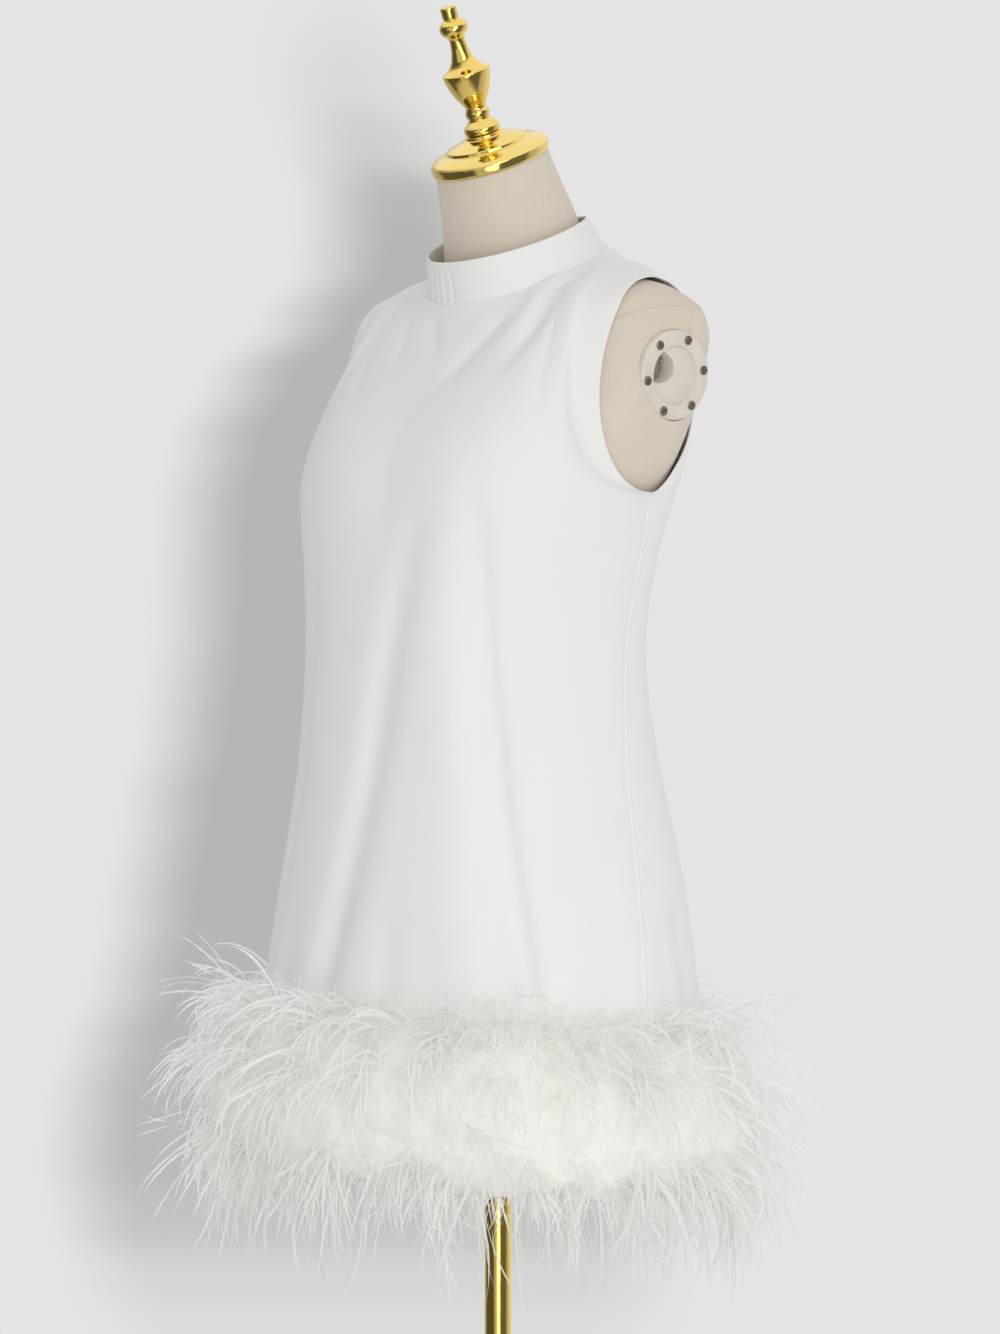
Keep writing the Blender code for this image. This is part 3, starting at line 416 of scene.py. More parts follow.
SEAM_WIDTH = 0.0022
SEAM_RISE = 0.0002
SEAM_STEP = 0.002
SEAM_SHADE = 0.93
# Across a seam: shares of its width to either side, and of its rise.
SEAM_PROFILE = [(-0.5, -0.8), (-0.42, 0.5), (-0.2, 0.95), (0.0, 0.7), (0.2, 0.95),
                (0.42, 0.5), (0.5, -0.8)]
# The seams of the left side, by points near the cover. The right side mirrors them.
COVER_SEAMS = {
    "shoulder": [(0.150, -0.040, 1.318), (0.160, 0.000, 1.327), (0.168, 0.030, 1.331),
                 (0.176, 0.060, 1.332), (0.160, 0.090, 1.334), (0.120, 0.112, 1.330)],
    "plate": [(0.178, 0.051, 1.331), (0.184, 0.045, 1.320), (0.185, 0.042, 1.309)],
}


def smooth_path(points, step):
    """A smooth curve through points, read at even steps."""
    points = np.array(points, float)
    along = np.concatenate([[0.0], np.cumsum(np.linalg.norm(np.diff(points, axis=0), axis=1))])
    count = max(2, int(along[-1] / step))
    wanted = np.linspace(0.0, along[-1], count + 1)
    return np.stack([hermite(along, points[:, i], wanted) for i in range(3)], axis=-1)


def seam_strip(name, path, material):
    """Lay a narrow raised strip along a path on the form's skin."""
    seated = []
    outwards = []
    for point in smooth_path(path, SEAM_STEP):
        nearest, outward, _, _ = form_tree.find_nearest(point)
        seated.append(np.array(nearest))
        outwards.append(np.array(outward))
    seated = np.array(seated)
    outwards = np.array(outwards)
    along = np.gradient(seated, axis=0)
    across = np.cross(outwards, along)
    across /= np.linalg.norm(across, axis=1, keepdims=True)
    grid = np.stack([seated + across * side * SEAM_WIDTH + outwards * rise * SEAM_RISE
                     for side, rise in SEAM_PROFILE], axis=1)
    mesh = sheet_mesh(name, grid, "cover")
    mesh.shade_smooth()
    mesh.materials.append(material)
    strip = add_to_scene(name, mesh)
    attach(strip, "root")


seam_linen = linen_cloth("linen seams", SEAM_SHADE)
for side_name, hand in SIDES:
    for seam_name, seam_path in COVER_SEAMS.items():
        seam_strip(f"cover_seam_{seam_name}_{side_name}",
                   [(hand * x, y, z) for x, y, z in seam_path], seam_linen)


# ------------------------------------------------------------------ arm plates
# Each arm cut is closed by a plate moulded in cream plastic. A low dome fills its flange,
# and an opening in the dome's upper front shows the socket behind it. The socket's deep
# faces are painted dark: painted shade, standing in for the shadow down the opening.

PLATE_RINGS = [(0.0380, 0.0022), (0.0396, 0.0017), (0.0404, 0.0004), (0.0405, -0.0020),
               (0.0405, -0.0060), (0.0275, -0.0060), (0.0270, -0.0160)]
PLATE_FACE_RADII = np.concatenate([np.linspace(0.0004, 0.0276, 69), [0.0300, 0.0340]])
PLATE_SIDES = 240
PLATE_EDGE = math.radians(60)
PLATE_FLANGE = 0.0022         # height of the flange's face
PLATE_STEP = 0.0016           # width of the step between the flange and the dome
PLATE_DOME_RADIUS = 0.0262
PLATE_DOME_TOP = 0.0066
PLATE_DOME_RIM = -0.0008
PLATE_OPENING_MIDDLE = (-0.0205, 0.0065)      # in front of and above the plate's middle
PLATE_OPENING_RADIUS = 0.0140
PLATE_OPENING_LIP = 0.0004    # how far outside its radius the opening's edge begins
PLATE_OPENING_FALL = 0.0012   # width over which that edge falls away
PLATE_SOCKET_DEPTH = 0.0135
# Faces deeper than this get the painted shade of the socket.
PLATE_PAINTED_SHADE_DEPTH = 0.0050    # from how far down the socket is dark


def plate_face(back, up):
    """Height of the plate's face over its own plane, at points behind and above its middle."""
    radius = np.hypot(back, up)
    flange = smooth_step((radius - PLATE_DOME_RADIUS + PLATE_STEP / 2) / PLATE_STEP)
    dome = PLATE_DOME_TOP + (PLATE_DOME_RIM - PLATE_DOME_TOP) * (radius / PLATE_DOME_RADIUS) ** 2
    from_opening = np.hypot(back - PLATE_OPENING_MIDDLE[0], up - PLATE_OPENING_MIDDLE[1])
    within = PLATE_OPENING_RADIUS + PLATE_OPENING_LIP - from_opening
    on_dome = PLATE_DOME_RADIUS - PLATE_OPENING_FALL - radius
    opening = smooth_step(within / PLATE_OPENING_FALL) * smooth_step(on_dome / PLATE_OPENING_FALL)
    inside = dome + (-PLATE_SOCKET_DEPTH - dome) * opening
    return inside * (1 - flange) + PLATE_FLANGE * flange


def arm_plate(name, hand):
    """Mould one plate: its face ring by ring from the middle, then its rim and its back."""
    place = plate_place(hand)
    rings = [(radius, None) for radius in PLATE_FACE_RADII] + PLATE_RINGS
    points = []
    for radius, height in rings:
        for k in range(PLATE_SIDES):
            turn = 2 * math.pi * k / PLATE_SIDES
            back, up = radius * math.cos(turn), radius * math.sin(turn)
            level = float(plate_face(back, up)) if height is None else height
            points.append(place @ Vector((hand * back, up, level)))
    faces = []
    for ring in range(len(rings) - 1):
        for k in range(PLATE_SIDES):
            here, there = ring * PLATE_SIDES + k, ring * PLATE_SIDES + (k + 1) % PLATE_SIDES
            faces.append((here, here + PLATE_SIDES, there + PLATE_SIDES, there))
    last = (len(rings) - 1) * PLATE_SIDES
    faces.append(tuple(reversed(range(PLATE_SIDES))))
    faces.append(tuple(range(last, last + PLATE_SIDES)))
    if hand < 0:
        faces = [face[::-1] for face in faces]
    mesh = bpy.data.meshes.new(name)
    mesh.from_pydata(points, [], faces)
    into_plate = place.inverted()
    front_points = len(PLATE_FACE_RADII) * PLATE_SIDES
    # Faces deep in the socket take the second material: painted shade, a dark colour for the shadow
    # down the opening.
    for face in mesh.polygons:
        highest = max((into_plate @ Vector(points[k])).z for k in face.vertices)
        dark = highest < -PLATE_PAINTED_SHADE_DEPTH and max(face.vertices) < front_points
        face.material_index = int(dark)
    mesh.shade_smooth()
    mesh.set_sharp_from_angle(angle=PLATE_EDGE)
    return add_to_scene(name, mesh)


def moulded_plastic(name):
    """Cream moulded plastic, a little glossy, with mould haze and rubbed dust."""
    material, shader, node = surface(name, (0.80, 0.755, 0.67), 0.34)
    links = material.node_tree.links
    shader.inputs["Subsurface Weight"].default_value = 0.12
    shader.inputs["Subsurface Radius"].default_value = (0.004, 0.003, 0.002)
    links.new(blotches(node, 70.0, 0.26, 0.46), shader.inputs["Roughness"])
    tone = blend(node, blotches(node, 45.0, 0.0, 0.6), (0.77, 0.73, 0.64), (0.69, 0.645, 0.555))
    links.new(tone, shader.inputs["Base Color"])
    skin = raised(node, blotches(node, 900.0, 0.0, 1.0), 0.06, 0.0004)
    links.new(skin, shader.inputs["Normal"])
    return material


plate_plastic = moulded_plastic("plate plastic")
# The socket's material is painted shade: a dark colour standing in for the shadow in the opening.
socket_painted_shade = surface("socket painted shade", (0.36, 0.33, 0.29), 0.6)[0]
for side_name, hand in SIDES:
    plate = arm_plate(f"arm_plate_moulded_{side_name}", hand)
    plate.data.materials.append(plate_plastic)
    plate.data.materials.append(socket_painted_shade)
    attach(plate, "root")
    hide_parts(f"arm_plate_{side_name}")


# ------------------------------------------------------------------ screws of the plates
# Six small pan-head screws hold each plate. They are blackened bronze, each with a cross
# recess, and are rubbed back to brown here and there.

SCREW_CIRCLE = 0.0338
SCREW_SEAT = 0.0025
SCREW_COUNT = 6
SCREW_TURN = 0.19         # where the first one lies, as a share of the step between two
SCREW_RINGS = [(0.0002, 0.0019), (0.0010, 0.0019), (0.0022, 0.0017), (0.0034, 0.0012),
               (0.0041, 0.0006), (0.0042, 0.0)]
SCREW_SIDES = 32
SCREW_EDGE = math.radians(35)
DRIVEN_TURN = 1.7         # how much further each is driven than the one before
RECESS_DEPTH = 0.0007
RECESS_WIDTH = 0.0009
RECESS_REACH = 0.0023


def screw_head(name, place, turn):
    """Pan head with a cross recess pressed into its crown."""
    points = [place @ Vector((0.0, 0.0, SCREW_RINGS[0][1] - RECESS_DEPTH))]
    for radius, height in SCREW_RINGS:
        for k in range(SCREW_SIDES):
            angle = 2 * math.pi * k / SCREW_SIDES
            in_cross = abs(math.sin(2 * angle)) * radius < RECESS_WIDTH and radius < RECESS_REACH
            sunk = RECESS_DEPTH if in_cross else 0.0
            points.append(place @ Vector((radius * math.cos(angle + turn),
                                          radius * math.sin(angle + turn), height - sunk)))
    points.append(place @ Vector((0.0, 0.0, 0.0)))
    faces = []
    for k in range(SCREW_SIDES):
        after = (k + 1) % SCREW_SIDES
        faces.append((0, 1 + k, 1 + after))
        for ring in range(len(SCREW_RINGS) - 1):
            inner, outer = 1 + ring * SCREW_SIDES, 1 + (ring + 1) * SCREW_SIDES
            faces.append((inner + k, outer + k, outer + after, inner + after))
        last = 1 + (len(SCREW_RINGS) - 1) * SCREW_SIDES
        faces.append((last + k, len(points) - 1, last + after))
    mesh = bpy.data.meshes.new(name)
    mesh.from_pydata(points, [], faces)
    mesh.shade_smooth()
    mesh.set_sharp_from_angle(angle=SCREW_EDGE)
    return add_to_scene(name, mesh)


def blackened_bronze(name):
    """Blackened bronze, rubbed back to brown here and there."""
    material, shader, node = surface(name, (0.20, 0.165, 0.11), 0.42, 0.85)
    links = material.node_tree.links
    tone = blend(node, blotches(node, 420.0, 0.0, 1.0), (0.14, 0.115, 0.08), (0.33, 0.27, 0.18))
    links.new(tone, shader.inputs["Base Color"])
    links.new(blotches(node, 300.0, 0.30, 0.55), shader.inputs["Roughness"])
    return material


screw_bronze = blackened_bronze("screw bronze")
for side_name, hand in SIDES:
    for k in range(SCREW_COUNT):
        turn = 2 * math.pi * (k + SCREW_TURN) / SCREW_COUNT
        x, y = SCREW_CIRCLE * math.cos(turn), SCREW_CIRCLE * math.sin(turn)
        seat = plate_place(hand) @ Matrix.Translation((x, y, SCREW_SEAT))
        screw = screw_head(f"screw_{side_name}_{k + 1}", seat, DRIVEN_TURN * k)
        screw.data.materials.append(screw_bronze)
        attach(screw, "root")
        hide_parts(f"arm_screw_{side_name}_{k + 1}")


# ------------------------------------------------------------------ neck cap and finial
# The cap is a stepped disc turned from brass, which closes the neck at its slant. The
# finial screws into it: a vase, a collar and a ball with a small plug on top.

CAP_SEAT = (0.0, -0.0125, 1.4780)
CAP_SLANT = math.radians(26.5)
CAP_PLACE = Matrix.Translation(CAP_SEAT) @ Matrix.Rotation(CAP_SLANT, 4, "X")
CAP_PROFILE = [(0.0, 0.0225), (0.0165, 0.0225), (0.0172, 0.0195), (0.0260, 0.0172),
               (0.0370, 0.0135), (0.0378, 0.0105), (0.0470, 0.0088), (0.0530, 0.0060),
               (0.0555, 0.0030), (0.0555, -0.0032), (0.0542, -0.0050), (0.0, -0.0050)]
FINIAL_PROFILE = [(0.0, 0.1405), (0.0065, 0.1405), (0.0075, 0.1395), (0.0075, 0.1300),
                  (0.0066, 0.1290), (0.0095, 0.1275), (0.0126, 0.1240), (0.0133, 0.1205),
                  (0.0122, 0.1165), (0.0082, 0.1130), (0.0070, 0.1100), (0.0078, 0.1010),
                  (0.0105, 0.0915), (0.0150, 0.0845), (0.0216, 0.0808), (0.0220, 0.0792),
                  (0.0214, 0.0750), (0.0195, 0.0680), (0.0160, 0.0590), (0.0118, 0.0520),
                  (0.0090, 0.0470), (0.0113, 0.0430), (0.0113, 0.0390), (0.0096, 0.0360),
                  (0.0125, 0.0330), (0.0165, 0.0290), (0.0170, 0.0255), (0.0155, 0.0228),
                  (0.0, 0.0228)]

TOP_ROUNDING_SHARE = 0.42
# Both turned pieces: piece, node, profile, and the most that its edges are rounded by.
TOP_PIECES = [("cap_disc", "neck_cap", CAP_PROFILE, 0.0009),
              ("finial_vase", "finial", FINIAL_PROFILE, 0.0030)]

cap_brass = brass_plate("finial brass", 75.0)
for piece_name, node_name, profile, rounding in TOP_PIECES:
    outline = eased(profile, TOP_ROUNDING_SHARE, rounding)
    top_piece = turned(piece_name, outline, TURNED_SIDES, CAP_PLACE)
    top_piece.data.materials.append(cap_brass)
    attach(top_piece, "root")
    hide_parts(node_name)


# ------------------------------------------------------------------ front and back panels
# The dress is cut from white crepe: one whole front, and two backs joined down the
# middle. The panels hang from the shoulders and bust, and their seams are pressed open.

CREPE_THICKNESS = 0.0014
HEM_Z = 0.552
HEM_LIFT = 0.018          # how much higher the hem runs in front, and how much lower behind
CHEST_Z = 1.166
NECK_MIDDLE = Vector((0.0, 0.028, 1.378))
NECK_HALF_WIDTH = 0.080
NECK_HALF_DEPTH = 0.084
NECK_SLOPE = 0.47
SHOULDER_TIP = Vector((0.150, 0.036, 1.3592))
SHOULDER_CROWN = 0.0048
UNDERARM = np.array((0.171, 0.003, 1.166))
UNDERARM_DRAW = 0.0034    # how far the underarm is drawn in towards the form
UNDERARM_REACH = 0.032
SEAM_SWING = 13.0         # degrees that the side seams swing forwards by, at the hem
BUST_APEX_X = 0.086
BUST_APEX_Z = 1.192
BUST_SPREAD = 0.050
BUST_HEIGHT = 0.009
BUST_FADE = 0.30          # share of the panel, beside its side seam, where the bust fades out
REST_CLEARANCE = 0.0005   # between the cloth's inner face and the form
REST_SOFTNESS = 0.0030    # over which the cloth comes down onto the form
REST_REACH = 0.02         # cloth that hangs further off than this isn't lifted at all
REST_FADE = 0.01          # and over this distance the lift sets in
FOLD_START = 0.35         # share of its run over which a fold sets in
FOLD_AT_TOP = 0.55        # share of its full depth that it has near its top
FOLD_GAIN = 0.45          # and the share that it gains on the way down
CREASE_START = 0.2        # share of its path over which a crease sets in
CREASE_END = 0.45         # and over which it dies away
CREASE_STEP = 0.006
SECTION_POINTS = 361      # points that the length of a section is measured by
PANEL_COLUMNS = 72
SKIRT_ROWS = 84
BODICE_ROWS = 50
EDGE_LINES = (0.0004, 0.0010, 0.0018, 0.0030, 0.0048)   # rows of points beside each edge
EDGE_DECIMALS = 7         # rows that agree to this many decimals are one
PANEL_HEIGHT = 0.61
PANEL_WIDTH = 0.30
BODICE_HEIGHT = 0.20
# By distance from an open edge: how far the cloth rolls over, as shares of its thickness.
EDGE_ROLL = ((0.0, 0.0004, 0.0010, 0.0018), (0.46, 0.20, 0.05, 0.0))
# By distance from a seam: how far its pressed allowance pushes the cloth out, in metres.
SIDE_SEAM_RELIEF = ((0.0, 0.0006, 0.0014, 0.0030, 0.0048, 0.0100),
                    (0.00075, 0.00060, 0.00005, -0.00025, 0.00004, 0.0))
FLAT_SEAM_RELIEF = ((0.0, 0.0006, 0.0018, 0.0085, 0.0105),
                    (-0.00010, 0.00004, 0.00012, 0.00010, 0.0))
MIRROR = np.array([-1.0, 1.0, 1.0])     # takes the left half of a panel to the right

# Sections of the hanging dress, from the hem up: height, half width, the y of its middle,
# depths in front and behind, and how square it is.
Section = namedtuple("Section", "z half_width middle front back squareness")
DRESS_SECTIONS = [
    Section(0.530, 0.235, -0.026, 0.212, 0.200, 2.00),
    Section(0.700, 0.211, -0.025, 0.186, 0.174, 2.00),
    Section(0.800, 0.194, -0.022, 0.174, 0.160, 2.05),
    Section(0.930, 0.168, -0.018, 0.162, 0.116, 2.20),
    Section(1.036, 0.158, -0.012, 0.165, 0.083, 2.30),
    Section(1.100, 0.162, -0.004, 0.168, 0.084, 2.40),
    Section(1.171, 0.171, 0.004, 0.165, 0.104, 2.50),
    Section(1.240, 0.176, 0.012, 0.148, 0.112, 2.60),
]

# How each column of the bodice leaves the chest and reaches the top edge. Rows: the middle
# of the panel, the columns to the neck corner and to the middle of the shoulder seam, and
# the armhole's edge.
Pull = namedtuple("Pull", "share leave_x leave_y leave_z arrive_x arrive_y arrive_z")
PULLS = {
    "front": [Pull(0.00, 0.000, 0.008, 0.062, 0.000, -0.030, -0.052),
              Pull(0.50, 0.000, 0.006, 0.066, 0.014, -0.068, -0.022),
              Pull(0.78, -0.0266, -0.0578, 0.0277, -0.0106, -0.0912, -0.0127),
              Pull(1.00, -0.0178, -0.1088, -0.0008, -0.0128, -0.0750, -0.0050)],
    "back": [Pull(0.00, 0.000, 0.012, 0.080, 0.000, 0.022, -0.062),
             Pull(0.50, 0.002, 0.018, 0.076, 0.040, 0.086, 0.034),
             Pull(0.78, -0.002, 0.042, 0.048, 0.012, 0.110, 0.002),
             Pull(1.00, -0.016, 0.062, 0.008, -0.010, 0.122, -0.020)],
}

# Folds that the skirt falls into. Each runs from top to bottom, its middle at top_angle
# and then bottom_angle round the body (0 is the middle of the front, positive towards
# the wearer's left), with its own width on each side, and its depth, in metres.
Fold = namedtuple("Fold", "top bottom top_angle bottom_angle right_width left_width depth")
FOLDS = [
    Fold(1.255, 0.545, 26, 58, 0.022, 0.010, -0.0084),
    Fold(1.240, 0.545, 18, 41, 0.034, 0.032, 0.0070),
    Fold(1.220, 0.545, 18, -27, 0.015, 0.020, -0.0108),
    Fold(0.860, 0.545, 11, 7, 0.012, 0.016, -0.0036),
    Fold(0.840, 0.545, -31, -37, 0.014, 0.018, -0.0046),
    Fold(1.190, 0.720, -26, -50, 0.018, 0.014, -0.0050),
    Fold(0.900, 0.545, 72, 70, 0.020, 0.014, -0.0034),
    Fold(0.860, 0.545, 96, 104, 0.016, 0.012, -0.0050),
    Fold(0.820, 0.545, 88, 90, 0.009, 0.009, -0.0022),
    Fold(1.080, 0.545, 140, 128, 0.030, 0.020, -0.0060),
    Fold(1.080, 0.545, -136, -126, 0.018, 0.030, -0.0065),
    Fold(0.960, 0.545, 164, 158, 0.022, 0.018, -0.0040),
    Fold(0.940, 0.545, -162, -160, 0.018, 0.024, -0.0045),
    Fold(0.900, 0.545, -96, -104, 0.014, 0.020, -0.0048),
    Fold(0.980, 0.545, -74, -68, 0.020, 0.026, 0.0036),
]

# Creases that pull from the neck, shoulders and underarms: how wide and how deep each is,
# and points near the cloth that it runs along.
Crease = namedtuple("Crease", "width depth path")
CREASES = [
    Crease(0.0080, -0.0055, [(0.096, 0.024, 1.388), (0.088, -0.010, 1.364),
                             (0.087, -0.062, 1.315), (0.080, -0.098, 1.280),
                             (0.064, -0.126, 1.245)]),
    Crease(0.0080, 0.0030, [(0.080, 0.006, 1.382), (0.072, -0.022, 1.356),
                            (0.070, -0.062, 1.318), (0.056, -0.100, 1.280)]),
    Crease(0.014, 0.0022, [(0.106, 0.010, 1.372), (0.104, -0.040, 1.335),
                           (0.104, -0.080, 1.295), (0.094, -0.118, 1.255)]),
    Crease(0.009, -0.0044, [(0.056, -0.051, 1.332), (0.037, -0.089, 1.291),
                            (0.015, -0.125, 1.240)]),
    Crease(0.007, -0.0032, [(-0.028, -0.058, 1.330), (-0.012, -0.080, 1.303),
                            (0.007, -0.095, 1.285)]),
    Crease(0.006, -0.0026, [(-0.065, -0.048, 1.332), (-0.053, -0.076, 1.305),
                            (-0.036, -0.100, 1.275)]),
    Crease(0.008, -0.0020, [(0.092, 0.020, 1.372), (0.106, -0.010, 1.352),
                            (0.112, -0.030, 1.336)]),
    Crease(0.006, -0.0009, [(0.168, -0.045, 1.120), (0.158, -0.060, 1.112),
                            (0.148, -0.084, 1.108), (0.136, -0.102, 1.118)]),
    Crease(0.006, -0.0009, [(-0.168, -0.045, 1.120), (-0.158, -0.060, 1.112),
                            (-0.148, -0.084, 1.108), (-0.136, -0.102, 1.118)]),
    Crease(0.010, -0.0018, [(-0.090, -0.014, 1.354), (-0.094, -0.066, 1.310),
                            (-0.082, -0.106, 1.268), (-0.056, -0.142, 1.222)]),
    Crease(0.010, -0.0018, [(0.080, 0.100, 1.372), (0.094, 0.118, 1.330),
                            (0.092, 0.122, 1.270)]),
    Crease(0.009, -0.0016, [(-0.074, 0.104, 1.374), (-0.090, 0.118, 1.335),
                            (-0.104, 0.118, 1.285)]),
    Crease(0.012, -0.0020, [(0.150, 0.066, 1.190), (0.120, 0.094, 1.150),
                            (0.080, 0.098, 1.110)]),
    Crease(0.012, -0.0018, [(-0.148, 0.068, 1.180), (-0.112, 0.094, 1.140),
                            (-0.070, 0.096, 1.096)]),
]


def section_column(column, z):
    """Read a column of the table of sections at heights z."""
    return hermite([row.z for row in DRESS_SECTIONS],
                   [getattr(row, column) for row in DRESS_SECTIONS], z)


def dress_section(angle, z):
    """Points of the hanging cloth at angles round its sections, at heights z."""
    power = 2.0 / section_column("squareness", z)
    depth = np.where(np.cos(angle) > 0, section_column("front", z), section_column("back", z))
    x = section_column("half_width", z) * signed_power(np.sin(angle), power)
    y = section_column("middle", z) - depth * signed_power(np.cos(angle), power)
    return np.stack([x, y, z], axis=-1)


def side_seam_angle(z):
    """The side seams swing forwards from the underarm to the hem."""
    return np.radians(90.0 - SEAM_SWING * smooth_step((CHEST_Z - z) / (CHEST_Z - HEM_Z)))


def skirt_row(fraction, share, side):
    """A row below the underarm: fraction from the hem, share from the panel's middle."""
    from_middle = np.linspace(0.0, 1.0, SECTION_POINTS)
    height = HEM_Z + (CHEST_Z - HEM_Z) * fraction
    seam = side_seam_angle(np.array(height))
    angle = from_middle * seam if side == "front" else math.pi - from_middle * (math.pi - seam)
    points = dress_section(angle, height + HEM_LIFT * (1 - fraction) ** 2 * np.cos(angle))
    along = lengths(points, 0)
    along /= along[-1]
    return np.stack([np.interp(share, along, points[:, i]) for i in range(3)], axis=-1)


def neckline(turn):
    """Point of the collar's seam; turn runs from 0 in front to pi behind."""
    y = -NECK_HALF_DEPTH * np.cos(turn)
    return np.stack([NECK_HALF_WIDTH * np.sin(turn), NECK_MIDDLE.y + y,
                     NECK_MIDDLE.z + NECK_SLOPE * y], axis=-1)


def top_row(share, side):
    """The panel's top edge: half the neckline, then the shoulder seam to its tip."""
    turn = np.clip(share * 2, 0, 1) * math.pi / 2
    neck = neckline(turn if side == "front" else math.pi - turn)
    corner = neckline(np.array(math.pi / 2))
    along = np.clip(share * 2 - 1, 0, 1)[:, None]
    shoulder = corner + (np.array(SHOULDER_TIP) - corner) * along
    shoulder[:, 2] += SHOULDER_CROWN * np.sin(along[:, 0] * math.pi)
    return np.where(share[:, None] <= 0.5, neck, shoulder)


def pull(side, column, share):
    """Read a column of the pulls on an even curve, flat at the panel's middle."""
    places = [row.share ** 2 for row in PULLS[side]]
    values = [getattr(row, column) for row in PULLS[side]]
    return np.polyval(np.polyfit(places, values, len(places) - 1), share ** 2)


def beside(shares, ends, length):
    """Add lines of points close to the ends of a run, for its rolled edges."""
    lines = np.array(EDGE_LINES) / length
    extra = [lines if end == 0 else 1.0 - lines for end in ends]
    return np.unique(np.round(np.concatenate([shares] + extra), EDGE_DECIMALS))


def half_panel(side):
    """Points of half a panel: rows from the hem up, columns from its middle outwards."""
    ends = (1,) if side == "front" else (0, 1)
    share = beside(np.linspace(0.0, 1.0, PANEL_COLUMNS + 1), ends, PANEL_WIDTH)
    skirt = beside(np.linspace(0.0, 1.0, SKIRT_ROWS + 1), (0,), PANEL_HEIGHT)
    rows = [skirt_row(fraction, share, side) for fraction in skirt]
    start, end = rows[-1], top_row(share, side)
    leave = np.stack([pull(side, f"leave_{axis}", share) for axis in "xyz"], axis=-1)
    arrive = np.stack([pull(side, f"arrive_{axis}", share) for axis in "xyz"], axis=-1)
    for t in beside(np.linspace(0.0, 1.0, BODICE_ROWS + 1), (1,), BODICE_HEIGHT)[1:]:
        rows.append((1 - t) ** 3 * start + 3 * t * (1 - t) ** 2 * (start + leave)
                    + 3 * t * t * (1 - t) * (end + arrive) + t ** 3 * end)
    grid = np.array(rows)
    if side == "front":
        away = (np.abs(grid[..., 0]) - BUST_APEX_X) ** 2 + (grid[..., 2] - BUST_APEX_Z) ** 2
        bust = BUST_HEIGHT * np.exp(-away / (2 * BUST_SPREAD ** 2))
        grid[..., 1] -= bust * smooth_step((1.0 - share) / BUST_FADE)
    from_underarm = np.linalg.norm(grid - UNDERARM, axis=-1)
    grid[..., 0] -= UNDERARM_DRAW * np.exp(-(from_underarm / UNDERARM_REACH) ** 2)
    return grid, len(skirt) - 1


def settled(grid, thickness, passes=2):
    """Bring cloth down onto the form: lift it smoothly where it would come too near."""
    rested = grid.copy()
    for _ in range(passes):
        for place in np.ndindex(grid.shape[:2]):
            nearest, outward, _, _ = form_tree.find_nearest(rested[place])
            height = (Vector(rested[place]) - nearest).dot(outward)
            need = thickness + REST_CLEARANCE - height
            lift = 0.5 * (need + math.hypot(need, REST_SOFTNESS))
            if need > -REST_REACH:
                fade = float(smooth_step((need + REST_REACH) / REST_FADE))
                rested[place] += np.array(outward) * lift * fade
    return rested


def grid_normals(grid):
    """Outward unit normals of a grid: rows run up, columns anticlockwise from above."""
    normals = np.cross(np.gradient(grid, axis=1), np.gradient(grid, axis=0))
    return normals / np.linalg.norm(normals, axis=-1, keepdims=True)


def share_normals(one, other):
    """Give two panels that meet at a seam the direction midway between theirs."""
    middle = one + other
    middle /= np.linalg.norm(middle, axis=-1, keepdims=True)
    one[...] = middle
    other[...] = middle


def fold_offset(points):
    """How far the folds push the cloth out, or in, at each point."""
    offset = np.zeros(points.shape[:-1])
    z = points[..., 2]
    middle = section_column("middle", z)
    angle = np.degrees(np.arctan2(points[..., 0], middle - points[..., 1]))
    radius = np.hypot(points[..., 0], points[..., 1] - middle)
    for fold in FOLDS:
        run = (fold.top - z) / (fold.top - fold.bottom)
        centre = fold.top_angle + (fold.bottom_angle - fold.top_angle) * run
        turn = (angle - centre + 180) % 360 - 180
        away = np.radians(turn) * radius
        width = np.where(away > 0, fold.left_width, fold.right_width)
        fade = smooth_step(run / FOLD_START) * (FOLD_AT_TOP + FOLD_GAIN * smooth_step(run))
        offset += fold.depth * fade * np.exp(-(away / width) ** 2)
    return offset


def crease_offset(points, creases):
    """How far the creases push the cloth out, or in, at each point."""
    offset = np.zeros(points.shape[:-1])
    for crease in creases:
        path = smooth_path(crease.path, min(CREASE_STEP, crease.width / 2))
        away = np.full(offset.shape, np.inf)
        where = np.zeros(offset.shape)
        for k, place in enumerate(path):
            distance = np.linalg.norm(points - place, axis=-1)
            where = np.where(distance < away, k / (len(path) - 1), where)
            away = np.minimum(away, distance)
        fade = smooth_step(where / CREASE_START) * smooth_step((1 - where) / CREASE_END)
        offset += crease.depth * fade * np.exp(-(away / crease.width) ** 2)
    return offset


def edge_distance(grid, edge):
    """Distance of each point from one edge of its grid."""
    if edge in ("low", "high"):
        run = lengths(grid, 0)
        return run if edge == "low" else run[-1:] - run
    run = lengths(grid, 1)
    return run if edge == "first" else run[:, -1:] - run


